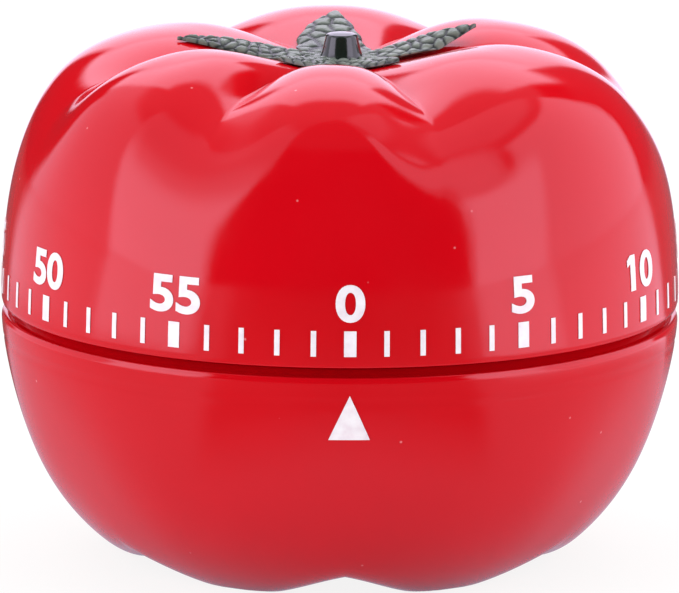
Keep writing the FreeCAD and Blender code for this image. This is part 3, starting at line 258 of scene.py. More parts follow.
# The same for what the floor shows to glossy surfaces:
# bearing from, to, distance from, to, soft across, soft outwards, radiance.
STAGE_START = 0.5
STAGE = [
    (-38, 38, 0.05, 9, 8, 0.02, 0.1),
    (-30, 30, 0.2, 9, 8, 0.1, 0.02),
    (48, 130, 0.1, 9, 8, 0.02, 1.3),
    (218, 310, 0.165, 9, 8, 0.03, 0.85),
    (274, 312, 0.17, 9, 5, 0.05, 2.1),
    (44, 73, 0.15, 9, 5, 0.04, 2.1),
    (160, 200, 0.045, 9, 10, 0.02, 1.5),
    (131, 163, 0.08, 9, 4, 0.03, 0.1),
    (193, 216, 0.06, 9, 4, 0.03, 0.04),
]
STAGE_ROWS, STAGE_COLS = 90, 120
STAGE_IN_R, STAGE_OUT_R, STAGE_POWER = 0.001, 6.0, 2.4
STAGE_Z = -0.00002
STAGE_WHITE = 0.88              # share of plain white that the camera sees over the lit floor
STAGE_GLOSS = 0.94              # share of the patches that glossy surfaces see over it
STAGE_COLOUR, STAGE_ROUGH = (0.93, 0.93, 0.94, 1.0), 0.9
# Bearing, height angle, distance, width, height, radiance.
LAMPS = {
    "lamp_left": (-68.0, 22.0, 0.9, 0.9, 1.0, 1.9),
    "lamp_right": (86.0, 22.0, 0.9, 1.15, 1.0, 1.7),
    "lamp_top": (180.0, 62.0, 0.8, 1.1, 1.0, 2.2),
}
LAMP_AIM_Z = 0.03

# ---------------------------------------------------------------- camera, in millimetres
CAM_TURN = math.radians(1.77)
CAM_LIFT = math.radians(11.557)
CAM_ROLL = 0.00726
CAM_AWAY = 783.7
CAM_AIM_Z = 25.6
VIEW_WIDTH = 65.29
VIEW_SHIFT = (-0.00044, -0.01489)
SENSOR = 36.0
CLIP = (0.05, 30.0)             # in metres

# ---------------------------------------------------------------- the lobed surface


def spline_basis(share, count):
    """Weights of a clamped cubic B-spline's poles at each share of its length."""
    share = np.atleast_1d(np.asarray(share, float))
    inner = np.linspace(0, 1, count - DEGREE + 1)
    knots = np.concatenate([[0.0] * DEGREE, inner, [1.0] * DEGREE])
    at = np.clip(share, 0.0, 1.0 - TINY)
    basis = [((at >= knots[i]) & (at < knots[i + 1])).astype(float) for i in range(len(knots) - 1)]
    for degree in range(1, DEGREE + 1):
        new = []
        for i in range(len(basis) - 1):
            value = np.zeros_like(at)
            left = knots[i + degree] - knots[i]
            right = knots[i + degree + 1] - knots[i + 1]
            if left > 0:
                value = value + (at - knots[i]) / left * basis[i]
            if right > 0:
                value = value + (knots[i + degree + 1] - at) / right * basis[i + 1]
            new.append(value)
        basis = new
    return np.array(basis[:count])


class Half:
    """One half of the body: lobes between creases around the axis."""

    def __init__(self, edge_z, crease, lobe, creases, swells, powers, centre):
        self.edge_z = edge_z
        self.crease = np.array(crease)
        self.lobe = np.array(lobe)
        self.creases = creases
        self.ends = creases[1:] + [creases[0] + 360.0]
        self.swells = swells
        self.powers = powers
        self.centre = centre

    def lobe_at(self, bearing):
        """(lobe, place across it from -1 to 1) for a bearing from the front, in degrees."""
        turned = (bearing - self.creases[0]) % 360.0 + self.creases[0]
        k = max(i for i, start in enumerate(self.creases) if turned >= start - TINY)
        return k, 2 * (turned - self.creases[k]) / (self.ends[k] - self.creases[k]) - 1

    def poles(self, bearing):
        """Poles of the meridian at a bearing, between those of the crease and those of the lobe."""
        k, u = self.lobe_at(bearing)
        out = []
        for i in range(len(self.crease)):
            if i < SOFT_POLES:
                weight = 1 - abs(math.sin(math.pi * u / 2)) ** self.powers[0]
            else:
                weight = 1 - abs(u) ** self.powers[1]
            point = self.crease[i] + self.swells[k] * weight * (self.lobe[i] - self.crease[i])
            out.append((BODY_R + point[0], self.edge_z + point[1]))
        out.append(self.centre)
        return np.array(out)

    def meridian(self, bearing, share):
        """Radius and height along the meridian at a bearing."""
        return spline_basis(share, len(self.crease) + 1).T @ self.poles(bearing)

    def bearings(self, per_lobe):
        """Bearings with a sample exactly on every crease."""
        out = []
        for start, end in zip(self.creases, self.ends):
            out += list(start + (end - start) * np.arange(per_lobe) / per_lobe)
        return out


upper = Half(UPPER_EDGE_Z, UPPER_CREASE, UPPER_LOBE, UPPER_CREASES_DEG, UPPER_SWELL, UPPER_POWERS,
             (STEM_SEAT_R, DOME_MID_Z))
lower = Half(LOWER_EDGE_Z, LOWER_CREASE, LOWER_LOBE, LOWER_CREASES_DEG, LOWER_SWELL, LOWER_POWERS,
             (STEM_SEAT_R, FLOOR_Z - FLOOR_T))
tables = {}


def polar(radius, bearing):
    """(x, y) at a bearing from the front, positive towards +X."""
    a = math.radians(bearing - 90.0)
    return radius * math.cos(a), radius * math.sin(a)


def meridian_table(half, bearing):
    """The meridian at a bearing, finely sampled once and kept."""
    key = (id(half), round(bearing, 3))
    if key not in tables:
        tables[key] = half.meridian(bearing, FINE)
    return tables[key]


def on_side(half, bearing, z, lift):
    """Point on the outer side wall at a height, lifted off it along its normal."""
    table = meridian_table(half, bearing)
    upto = int(np.argmax(table[:, 1])) if half is upper else int(np.argmin(table[:, 1]))
    r, h = table[:upto, 0], table[:upto, 1]
    share = np.interp(z, h, np.arange(upto)) if half is upper else np.interp(-z, -h, np.arange(upto))
    i = int(min(upto - 2, max(0, math.floor(share))))
    radius = r[i] + (share - i) * (r[i + 1] - r[i])
    dr, dz = r[i + 1] - r[i], h[i + 1] - h[i]
    size = math.hypot(dr, dz)
    nr, nz = abs(dz) / size, (-dr if half is upper else dr) / size
    x, y = polar(radius + nr * lift, bearing)
    return x, y, z + nz * lift


def dome_height(x, y):
    """Height of the dome above (x, y)."""
    radius = math.hypot(x, y)
    if radius <= STEM_SEAT_R:
        return DOME_MID_Z
    bearing = math.degrees(math.atan2(y, x)) + 90.0
    outwards = meridian_table(upper, round(bearing * DOME_STEPS) / DOME_STEPS)[::-1]
    return float(np.interp(radius, outwards[:, 0], outwards[:, 1]))


# ---------------------------------------------------------------- mesh helpers


def piece(name, verts, faces, smooth=True, scale=MM):
    """Mesh object from points in millimetres, or in metres at scale 1, with outward normals."""
    mesh = bpy.data.meshes.new(name)
    mesh.from_pydata([tuple(float(c) * scale for c in v) for v in verts], [], faces)
    bm = bmesh.new()
    bm.from_mesh(mesh)
    bmesh.ops.recalc_face_normals(bm, faces=bm.faces)
    bm.to_mesh(mesh)
    bm.free()
    if smooth:
        mesh.shade_smooth()
    obj = bpy.data.objects.new(name, mesh)
    bpy.context.scene.collection.objects.link(obj)
    return obj


def ring_faces(rows, cols, closed_rows=False):
    """Quads of a grid whose columns close on themselves."""
    faces = []
    for i in range(rows if closed_rows else rows - 1):
        a, b = i * cols, (i + 1) % rows * cols
        for j in range(cols):
            k = (j + 1) % cols
            faces.append((a + j, a + k, b + k, b + j))
    return faces


def lathe(profile, count=TURNED_SIDES, at=(0.0, 0.0)):
    """Points and quads of a closed (r, z) profile turned about the vertical through at."""
    verts = []
    for r, z in profile:
        for j in range(count):
            a = 2 * math.pi * j / count
            verts.append((at[0] + r * math.cos(a), at[1] + r * math.sin(a), z))
    return verts, ring_faces(len(profile), count, closed_rows=True)


def merged(*parts):
    """Points and faces of several meshes as one."""
    verts, faces = [], []
    for v, f in parts:
        base = len(verts)
        verts += list(v)
        faces += [tuple(i + base for i in face) for face in f]
    return verts, faces


def paint_points(obj, name, values, tint=(1.0, 1.0, 1.0)):
    """Colour attribute: the tint times one value for each point."""
    layer = obj.data.color_attributes.new(name, "FLOAT_COLOR", "POINT")
    for i, value in enumerate(values):
        layer.data[i].color = (value * tint[0], value * tint[1], value * tint[2], 1.0)


# ---------------------------------------------------------------- the two halves


def inward(points, wall):
    """The meridian points moved inwards by the wall, square to the meridian."""
    step = np.gradient(points, axis=0)
    size = np.maximum(np.hypot(step[:, 0], step[:, 1]), SHORTEST)
    along = step / size[:, None]
    turn = np.sign(points[-1, 1] - points[0, 1])
    return points + wall * np.stack([-along[:, 1], along[:, 0]], axis=1) * turn


def turned_rows(rows, bearings):
    """Points and quads of a closed stack of rings, each a list of one (r, z) per bearing."""
    verts = []
    for row in rows:
        for (r, z), b in zip(row, bearings):
            verts.append((*polar(r, b), z))
    return verts, ring_faces(len(rows), len(bearings), closed_rows=True)


def half_lines(half):
    """Bearings, outer meridians and inner meridians of a half."""
    bearings = half.bearings(PER_LOBE)
    outer = [half.meridian(b, OUT_SHARES) for b in bearings]
    inner = [inward(half.meridian(b, IN_SHARES), WALL) for b in bearings]
    return bearings, outer, inner


def dial_shell():
    """The upper half: lobed skin with a bevelled rim, inner wall and the boss for the arbor."""
    bearings, outer, inner = half_lines(upper)
    for line in outer:
        fall = np.exp(-((line[:, 1] - UPPER_EDGE_Z) / RIM_ROUND) ** 2)
        line[:, 0] -= RIM_ROUND * fall ** 2 * RIM_TUCK
    rows = [[(BODY_R - WALL, UPPER_EDGE_Z)] * len(bearings)]
    rows.append([(line[0, 0] - RIM_FACE, UPPER_EDGE_Z) for line in outer])
    rows += [[tuple(line[i]) for line in outer] for i in range(len(OUT_SHARES))]
    rows += [[(ROOF_HOLE_R, z)] * len(bearings) for z in (DOME_MID_Z, ROOF_Z)]
    for i in range(len(IN_SHARES) - 1, 0, -1):
        rows.append([(max(float(line[i, 0]), INNER_MIN_R), min(float(line[i, 1]), INNER_MAX_Z))
                     for line in inner])
    boss = lathe([(ARBOR_BORE_R, ARBOR_BOSS_Z), (ARBOR_BOSS_R - CHAMFER, ARBOR_BOSS_Z),
                  (ARBOR_BOSS_R, ARBOR_BOSS_Z + CHAMFER), (ARBOR_BOSS_R, ROOF_Z + ROOF_SINK),
                  (ARBOR_BORE_R, ROOF_Z + ROOF_SINK)])
    return piece("dial_shell", *merged(turned_rows(rows, bearings), boss))


def slot_cutter():
    """Upright prisms with round ends, one for each sound slot."""
    prisms = []
    for i in range(SLOTS):
        a = math.radians(SLOT_FIRST + 360.0 / SLOTS * i)
        points = []
        for z in SLOT_CUT_Z:
            for end in (1, -1):
                for k in range(SLOT_ARC):
                    t = math.pi * (k / (SLOT_ARC - 1) - 0.5)
                    u = end * ((SLOT_L - SLOT_W) / 2 + SLOT_W / 2 * math.cos(t)) + SLOT_R
                    v = end * SLOT_W / 2 * math.sin(t)
                    points.append((u * math.cos(a) - v * math.sin(a), u * math.sin(a) + v * math.cos(a), z))
        n = 2 * SLOT_ARC
        quads = [(j, (j + 1) % n, n + (j + 1) % n, n + j) for j in range(n)]
        quads += [tuple(range(n)), tuple(range(2 * n - 1, n - 1, -1))]
        prisms.append((points, quads))
    return piece("slot_cutter", *merged(*prisms), smooth=False)


def base_shell():
    """The lower half: lobed skin with flat feet, a groove, a lip, the step behind the seam and slots."""
    bearings, outer, inner = half_lines(lower)
    for line in outer:
        depth = LOWER_EDGE_Z - line[:, 1]
        line[:, 0] -= EDGE_TUCK * np.exp(-(depth / RIM_ROUND) ** 2)
        line[:, 0] -= GROOVE_DEEP * np.exp(-((depth - GROOVE_AT) / GROOVE_WIDE) ** 2)
        line[:, 1] = np.maximum(line[:, 1], 0.0)
    rim = [(LIP_OUT_R - LIP_T, -LIP_FOOT), (LIP_OUT_R - LIP_T, LIP_H), (LIP_OUT_R, LIP_H),
           (LIP_OUT_R, STEP_H), (STEP_R, STEP_H), (STEP_R, 0.0)]
    rows = [[(r, LOWER_EDGE_Z + h)] * len(bearings) for r, h in rim]
    rows.append([(line[0, 0] - RIM_FACE, LOWER_EDGE_Z) for line in outer])
    rows += [[tuple(line[i]) for line in outer] for i in range(len(OUT_SHARES))]
    rows += [[(AXIS_R, z)] * len(bearings) for z in (FLOOR_Z - FLOOR_T, FLOOR_Z)]
    for i in range(len(IN_SHARES) - 1, 0, -1):
        rows.append([(float(line[i, 0]), max(float(line[i, 1]), WALL)) for line in inner])
    shell = piece("base_shell", *turned_rows(rows, bearings))
    cutter = slot_cutter()
    cut = shell.modifiers.new("slots", "BOOLEAN")
    cut.operation = "DIFFERENCE"
    cut.solver = "EXACT"
    cut.object = cutter
    graph = bpy.context.evaluated_depsgraph_get()
    mesh = bpy.data.meshes.new_from_object(shell.evaluated_get(graph))
    shell.modifiers.clear()
    shell.data = mesh
    bpy.data.objects.remove(cutter)
    return shell


def base_bosses():
    """Three screw bosses that carry the clockwork."""
    profile = [(SCREW_HOLE_R, SCREW_BOSS_FOOT_Z), (SCREW_HOLE_R, SCREW_BOSS_Z),
               (SCREW_BOSS_R - CHAMFER, SCREW_BOSS_Z), (SCREW_BOSS_R, SCREW_BOSS_Z - CHAMFER),
               (SCREW_BOSS_R, SCREW_BOSS_FOOT_Z)]
    turned = []
    for angle in map(math.radians, SCREW_BOSS_ANGLES):
        at = (SCREW_BOSS_CIRCLE * math.cos(angle), SCREW_BOSS_CIRCLE * math.sin(angle))
        turned.append(lathe(profile, SCREW_BOSS_SIDES, at))
    return piece("screw_bosses", *merged(*turned))


# ---------------------------------------------------------------- ink: scale, numerals, pointer


def on_surface(name, half, meshes):
    """A thin skin on the side wall. meshes are (points (across in mm, height), faces, bearing)."""
    verts, faces = [], []
    for points, polygons, bearing in meshes:
        base, count = len(verts), len(points)
        for level in (INK_LIFT, INK_LIFT + INK_T):
            for u, z in points:
                verts.append(on_side(half, bearing + math.degrees(u / BODY_R), z, level))
        borders = {}
        for polygon in polygons:
            faces.append(tuple(i + base + count for i in polygon))
            faces.append(tuple(i + base for i in reversed(polygon)))
            borders.update(dict.fromkeys(zip(polygon, polygon[1:] + polygon[:1])))
        for i, j in borders:
            if (j, i) not in borders:
                faces.append((base + i, base + j, base + count + j, base + count + i))
    return piece(name, verts, faces, smooth=False)


def bar(half_width, z0, z1):
    """Upright bar as a grid, so that it can bend."""
    across, up = TICK_GRID
    points, faces = [], []
    for j in range(up):
        for i in range(across):
            points.append((-half_width + 2 * half_width * i / (across - 1), z0 + (z1 - z0) * j / (up - 1)))
    for j in range(up - 1):
        for i in range(across - 1):
            k = j * across + i
            faces.append((k, k + 1, k + across + 1, k + across))
    return points, faces


def sliced(bm, at, normal):
    """Cuts every face of the mesh along a plane, and keeps both sides."""
    everything = bm.verts[:] + bm.edges[:] + bm.faces[:]
    bmesh.ops.bisect_plane(bm, geom=everything, plane_co=at, plane_no=normal)


def numeral(text):
    """Flat mesh of a number in bold plain letters, centred, cut into small faces so that it can bend."""
    curve = bpy.data.curves.new("numeral", "FONT")
    curve.body = text
    curve.size = 1.0
    curve.offset = NUMERAL_BOLD
    curve.resolution_u = NUMERAL_ARC
    obj = bpy.data.objects.new("numeral", curve)
    bpy.context.scene.collection.objects.link(obj)
    bpy.context.view_layer.update()
    mesh = bpy.data.meshes.new_from_object(obj.evaluated_get(bpy.context.evaluated_depsgraph_get()))
    bpy.data.objects.remove(obj)
    bm = bmesh.new()
    bm.from_mesh(mesh)
    bmesh.ops.remove_doubles(bm, verts=bm.verts, dist=JOIN)
    xs = [v.co.x for v in bm.verts]
    ys = [v.co.y for v in bm.verts]
    size = NUMERAL_H / (max(ys) - min(ys))
    middle, low = (max(xs) + min(xs)) / 2, min(ys)
    for v in bm.verts:
        v.co = Vector(((v.co.x - middle) * size * NUMERAL_WIDE, (v.co.y - low) * size, 0))
    for i in range(-STRIPS, STRIPS + 1):
        sliced(bm, (i * STRIP_W, 0, 0), (1, 0, 0))
    for i in range(1, BANDS + 1):
        sliced(bm, (0, i * BAND_H, 0), (0, 1, 0))
    bm.verts.index_update()
    points = [(v.co.x, v.co.y) for v in bm.verts]
    faces = []
    for f in bm.faces:
        loop = [v.index for v in f.verts]
        area = sum(points[a][0] * points[b][1] - points[b][0] * points[a][1]
                   for a, b in zip(loop, loop[1:] + loop[:1]))
        faces.append(tuple(loop) if area > 0 else tuple(reversed(loop)))
    bm.free()
    return points, faces


def scale_marks():
    """A mark for each minute, wider at each numeral."""
    marks = []
    for minute in range(MINUTES):
        half_width = MINUTE_HALF if minute % MARKED else FIVE_HALF
        marks.append((*bar(half_width, TICK_LOW, TICK_LOW + TICK_H), MINUTE_DEG * minute))
    return on_surface("scale_marks", upper, marks)


def scale_numerals():
    """A number over each wide mark, with a flag on each leading 1."""
    marks = []
    low = TICK_LOW + TICK_H + NUMERAL_GAP
    for minute in range(0, MINUTES, MARKED):
        points, faces = numeral(str(minute))
        marks.append(([(u, z + low) for u, z in points], faces, MINUTE_DEG * minute))
        if str(minute)[0] == "1":
            left = min(u for u, z in points)
            flag = [(left - FLAG_W, FLAG_TIP[0]), (left, FLAG_ROOT[0]), (left, FLAG_ROOT[1]),
                    (left - FLAG_W, FLAG_TIP[1])]
            marks.append(([(u, low + z * NUMERAL_H) for u, z in flag], [(0, 1, 2, 3)], MINUTE_DEG * minute))
    return on_surface("scale_numerals", upper, marks)


def pointer():
    """Triangle that points up at the scale: one point on top, then rows of points."""
    wide = POINTER_ROWS + 1
    points, faces = [(0.0, POINTER_TOP)], [tuple(range(wide + 1))]
    for i in range(1, wide):
        half_width = POINTER_W / 2 * i / POINTER_ROWS
        for j in range(wide):
            across = 2 * j / POINTER_ROWS - 1
            points.append((half_width * across, POINTER_TOP - POINTER_H * i / POINTER_ROWS))
    for i in range(POINTER_ROWS - 1):
        for j in range(POINTER_ROWS):
            k = 1 + i * wide + j
            faces.append((k, k + wide, k + wide + 1, k + 1))
    return on_surface("pointer", lower, [(points, faces, 0.0)])


# ---------------------------------------------------------------- sepals and stem


class Pebbles:
    """Rounded cells of uneven size between grooves, as on leather."""

    def __init__(self, seed, size):
        rng = np.random.default_rng(seed)
        self.count = int(PEBBLE_REACH / size)
        line = np.arange(-self.count, self.count)
        grid = np.stack(np.meshgrid(line, line, indexing="ij"), -1)
        self.at = (grid + rng.uniform(-PEBBLE_SHIFT, PEBBLE_SHIFT, grid.shape)) * size
        self.size = size

    def height(self, p):
        """From 0 in a groove to 1 on top of a cell."""
        i = int(round(p[0] / self.size)) + self.count
        j = int(round(p[1] / self.size)) + self.count
        some = self.at[i - NEAR:i + NEAR + 1, j - NEAR:j + NEAR + 1].reshape(-1, 2)
        d = np.hypot(some[:, 0] - p[0], some[:, 1] - p[1])
        near = np.partition(d, 1)[:2]
        border = (near[1] - near[0]) / self.size
        return 1 - math.exp(-(border / PEBBLE_GROOVE) ** PEBBLE_POWER)


def leaf(bearing, reach, half_width, rise, bow, seed):
    """One sepal: a thin pebbled leaf that follows the dome, its edges rounded and a little wavy."""
    phases = np.random.default_rng(seed).uniform(0, PHASE_SPAN, 3)
    pebbles = Pebbles(seed + CELL_SEED, CELL_BASE + CELL_SHARE * half_width)
    grains = Pebbles(seed + GRAIN_SEED, GRAIN_SIZE)
    ux, uy = polar(1.0, bearing)
    verts, tones = [], []
    for i in range(LEAF_ALONG):
        t = i / (LEAF_ALONG - 1)
        r = LEAF_FOOT_R + (reach - LEAF_FOOT_R) * t
        waves = [size * math.sin(rate * t + phase) for (size, rate), phase in zip(EDGE_WAVES, phases)]
        width = np.interp(t, LEAF_SHARE, LEAF_WIDTH) * half_width * sum(waves, 1.0)
        bend = SWAY * math.sin(SWAY_RATE * t + phases[2]) * t + bow * math.sin(math.pi * t)
        top_row, low_row = [], []
        for j in range(LEAF_ACROSS):
            k = math.sin((2 * j / (LEAF_ACROSS - 1) - 1) * math.pi / 2)
            side = k * width + bend
            x, y = ux * r - uy * side, uy * r + ux * side
            under = max(dome_height(x, y), DOME_MID_Z + SEAT_RISE) + LEAF_LIFT + rise * t * t
            edge = math.sqrt(max(0.0, 1 - abs(k) ** EDGE_POWER))
            tip = min(1.0, (1 - t) / TIP_SHARE) ** 0.5
            cell = pebbles.height((r, side))
            grain = grains.height((r, side))
            relief = (CELL_RELIEF * cell + GRAIN_RELIEF * grain) * edge
            vein = VEIN_DEEP * math.exp(-(side - bend) ** 2 / VEIN_WIDE) * (1 - t)
            body = LEAF_T * (EDGE_BODY + (1 - EDGE_BODY) * edge * tip) * (1 - TIP_THINNING * t * t)
            top = under + body * BODY_SHARE + relief * LEAF_T * RELIEF_SHARE - vein
            top_row.append((x, y, top))
            low_row.append((x, y, under + EDGE_CURL * (1 - edge)))
            # Pebble tone for painted shade: lowest in the grooves between cells and between grains.
            tones.append(cell * (1 - GRAIN_SHADE_TONE + GRAIN_SHADE_TONE * grain))
        verts += top_row + low_row[::-1]
        tones += [UNDER_TONE] * LEAF_ACROSS
    loop = 2 * LEAF_ACROSS
    faces = ring_faces(LEAF_ALONG, loop)
    faces.append(tuple(range(loop)))
    faces.append(tuple(len(verts) - loop + j for j in reversed(range(loop))))
    return verts, faces, tones


def hub():
    """Pebbled ring around the stem that joins the sepals."""
    pebbles = Pebbles(HUB_SEED, HUB_CELL)
    verts, tones = [], []
    for i in range(HUB_ROWS):
        r = HUB_R + HUB_W * i / (HUB_ROWS - 1)
        drop = max(0.0, (r - HUB_DROP_R) / HUB_DROP_W)
        for j in range(HUB_COLS):
            a = 2 * math.pi * j / HUB_COLS
            x, y = r * math.cos(a), r * math.sin(a)
            cell = pebbles.height((x, y))
            body = LEAF_T * (HUB_BODY + HUB_RELIEF * cell) * (1 - drop ** 2)
            verts.append((x, y, max(DOME_MID_Z + LEAF_LIFT, dome_height(x, y)) + body))
            # Pebble tone for painted shade, lowest in the grooves.
            tones.append(cell)
    return verts, ring_faces(HUB_ROWS, HUB_COLS), tones


def leaves():
    """All the sepals and their hub as one mesh, with the tone of its pebbles, which paints shade into their
    grooves.
    """
    parts = [leaf(*row, LEAF_SEED + k) for k, row in enumerate(LEAVES)] + [hub()]
    obj = piece("leaves", *merged(*(part[:2] for part in parts)))
    paint_points(obj, "cell", [tone for part in parts for tone in part[2]])
    return obj


def stem():
    """Short tapered stem with a flared foot and a slightly domed, rounded top."""
    foot, top = DOME_MID_Z + STEM_FOOT, DOME_MID_Z + STEM_TOP
    profile = [(r, foot + h) for r, h in STEM_FLARE] + [(STEM_NECK[0], top - STEM_NECK[1])]
    for k in range(1, STEM_ROUND_STEPS + 1):
        a = math.pi / 2 * k / STEM_ROUND_STEPS
        profile.append((STEM_ROUND_AT[0] + STEM_ROUND[0] * math.cos(a),
                        top - STEM_ROUND_AT[1] + STEM_ROUND[1] * math.sin(a)))
    profile += [(r, top - h) for r, h in STEM_CROWN]
    verts = []
    for r, z in profile:
        for j in range(TURNED_SIDES):
            a = 2 * math.pi * j / TURNED_SIDES
            wave = sum((size * math.sin(number * a + start) for size, number, start in STEM_WAVES), 1.0)
            verts.append((r * wave * math.cos(a), r * wave * math.sin(a), z))
    faces = ring_faces(len(profile), TURNED_SIDES)
    faces.append(tuple(range(TURNED_SIDES)))
    faces.append(tuple(len(verts) - TURNED_SIDES + j for j in reversed(range(TURNED_SIDES))))
    return piece("stem", verts, faces)


# ---------------------------------------------------------------- material helpers


def new_material(name):
    """(material, node tree, shader) with the shader linked to the output."""
    mat = bpy.data.materials.new(name)
    mat.use_nodes = True
    tree = mat.node_tree
    tree.nodes.clear()
    out = tree.nodes.new("ShaderNodeOutputMaterial")
    shader = tree.nodes.new("ShaderNodeBsdfPrincipled")
    tree.links.new(shader.outputs[0], out.inputs[0])
    return mat, tree, shader


def place(tree):
    """Coordinates fixed to the object."""
    return tree.nodes.new("ShaderNodeTexCoord").outputs["Object"]


def noise(tree, where, scale, detail, rough=0.5, stretch=None):
    """Noise over the object's coordinates, stretched if asked."""
    node = tree.nodes.new("ShaderNodeTexNoise")
    node.inputs["Scale"].default_value = scale
    node.inputs["Detail"].default_value = detail
    node.inputs["Roughness"].default_value = rough
    if stretch:
        mapping = tree.nodes.new("ShaderNodeMapping")
        mapping.inputs["Scale"].default_value = stretch
        tree.links.new(where, mapping.inputs[0])
        where = mapping.outputs[0]
    tree.links.new(where, node.inputs["Vector"])
    return node.outputs[0]


def spread(tree, source, part, to):
    """Maps part of the source's range to another range."""
    node = tree.nodes.new("ShaderNodeMapRange")
    tree.links.new(source, node.inputs["Value"])
    for key, value in zip(("From Min", "From Max", "To Min", "To Max"), (*part, *to)):
        node.inputs[key].default_value = value
    return node.outputs[0]


def mix(tree, factor, a, b):
    """Colour between a and b, each a colour or a socket."""
    node = tree.nodes.new("ShaderNodeMix")
    node.data_type = "RGBA"
    tree.links.new(factor, node.inputs["Factor"])
    for socket, value in ((node.inputs["A"], a), (node.inputs["B"], b)):
        if isinstance(value, tuple):
            socket.default_value = value + (1.0,)
        else:
            tree.links.new(value, socket)
    return node.outputs["Result"]


def calculated(tree, operation, *values):
    """Result of a maths node whose two inputs are numbers or sockets."""
    node = tree.nodes.new("ShaderNodeMath")
    node.operation = operation
    for socket, value in zip(node.inputs, values):
        if isinstance(value, float):
            socket.default_value = value
        else:
            tree.links.new(value, socket)
    return node.outputs[0]


def first_channel(tree, colour):
    """Red channel of a colour."""
    node = tree.nodes.new("ShaderNodeSeparateColor")
    tree.links.new(colour, node.inputs[0])
    return node.outputs[0]


def attribute(tree, name):
    """Colour attribute of the mesh."""
    node = tree.nodes.new("ShaderNodeAttribute")
    node.attribute_name = name
    return node.outputs["Color"]


def bump(tree, shader, height, strength, distance):
    """Small relief on a shader."""
    node = tree.nodes.new("ShaderNodeBump")
    node.inputs["Strength"].default_value = strength
    node.inputs["Distance"].default_value = distance
    tree.links.new(height, node.inputs["Height"])
    tree.links.new(node.outputs[0], shader.inputs["Normal"])


def times(pair, factor):
    """Both numbers of a pair times a factor."""
    return tuple(factor * number for number in pair)


# ---------------------------------------------------------------- materials


def red_plastic():
    """Glossy red with faint clouds, smears, orange peel and rare pale specks."""
    mat, tree, shader = new_material("glossy_red_plastic")
    where = place(tree)
    red = mix(tree, spread(tree, noise(tree, where, *RED_CLOUD), MIDDLE, WHOLE), RED_A, RED_B)
    cells = tree.nodes.new("ShaderNodeTexVoronoi")
    cells.inputs["Scale"].default_value = SPECK_CELLS
    tree.links.new(where, cells.inputs["Vector"])
    dot = spread(tree, cells.outputs["Distance"], SPECK_EDGE, WHOLE[::-1])
    rare = spread(tree, first_channel(tree, cells.outputs["Color"]), SPECK_RARE, WHOLE)
    speck = calculated(tree, "MULTIPLY", dot, rare)
    colour = mix(tree, spread(tree, speck, WHOLE, (0.0, SPECK_SHARE)), red, SPECK)
    tree.links.new(colour, shader.inputs["Base Color"])
    smear = noise(tree, where, *RED_SMEAR)
    tree.links.new(spread(tree, smear, UPPER_PART, RED_GLOSS), shader.inputs["Roughness"])
    shader.inputs["IOR"].default_value = RED_IOR
    bump(tree, shader, noise(tree, where, *RED_PEEL), *RED_BUMP)
    return mat


def white_ink():
    """Matt white print with faint wear."""
    mat, tree, shader = new_material("white_ink")
    wear = noise(tree, place(tree), *INK_WEAR)
    colour = mix(tree, spread(tree, wear, LONG_PART, WHOLE), INK_A, INK_B)
    tree.links.new(colour, shader.inputs["Base Color"])
    shader.inputs["Roughness"].default_value = INK_ROUGH
    bump(tree, shader, wear, *INK_BUMP)
    return mat


def leaf_material():
    """Grey-green leather, with painted shade darkening the grooves between its pebbles."""
    mat, tree, shader = new_material("leathery_leaf")
    where = place(tree)
    patch = noise(tree, where, *LEAF_PATCH)
    green = mix(tree, spread(tree, patch, UPPER_PART, WHOLE), LEAF_A, LEAF_B)
    cell = first_channel(tree, attribute(tree, "cell"))
    # Painted shade: near-black in the grooves, green on the pebbles.
    colour = mix(tree, spread(tree, cell, GROOVE_SHADE_TONES, WHOLE), LEAF_GROOVE_SHADE, green)
    tree.links.new(colour, shader.inputs["Base Color"])
    tree.links.new(spread(tree, patch, MIDDLE, LEAF_ROUGH), shader.inputs["Roughness"])
    bump(tree, shader, noise(tree, where, *LEAF_GRAIN), *LEAF_BUMP)
    return mat


def stem_material():
    """Nearly black glossy stem with streaks along it."""
    mat, tree, shader = new_material("glossy_dark_stem")
    streak = noise(tree, place(tree), *STEM_STREAK)
    colour = mix(tree, spread(tree, streak, MIDDLE, WHOLE), STEM_A, STEM_B)
    tree.links.new(colour, shader.inputs["Base Color"])
    tree.links.new(spread(tree, streak, MIDDLE, STEM_ROUGH), shader.inputs["Roughness"])
    shader.inputs["Coat Weight"].default_value = STEM_COAT
    shader.inputs["Coat Roughness"].default_value = STEM_COAT_ROUGH
    bump(tree, shader, streak, *STEM_BUMP)
    return mat


def metal(name, light, dark, rough, stretch):
    """Metal with a grain drawn out one way and faint stains."""
    mat, tree, shader = new_material(name)
    where = place(tree)
    grain = noise(tree, where, *METAL_GRAIN, stretch)
    colour = mix(tree, spread(tree, noise(tree, where, *METAL_STAIN), LONG_PART, WHOLE), light, dark)
    tree.links.new(colour, shader.inputs["Base Color"])
    shader.inputs["Metallic"].default_value = 1.0
    tree.links.new(spread(tree, grain, MIDDLE, times(METAL_ROUGH, rough)), shader.inputs["Roughness"])
    bump(tree, shader, grain, *METAL_BUMP)
    return mat


def plain_plastic(name, light, dark, rough):
    """Moulded plastic with a fine grain."""
    mat, tree, shader = new_material(name)
    grain = noise(tree, place(tree), *PLASTIC_GRAIN)
    colour = mix(tree, spread(tree, grain, MIDDLE, WHOLE), light, dark)
    tree.links.new(colour, shader.inputs["Base Color"])
    tree.links.new(spread(tree, grain, MIDDLE, times(PLASTIC_ROUGH, rough)), shader.inputs["Roughness"])
    bump(tree, shader, grain, *PLASTIC_BUMP)
    return mat


def finish_with(obj, mat):
    """Gives a piece its material."""
    obj.data.materials.clear()
    obj.data.materials.append(mat)


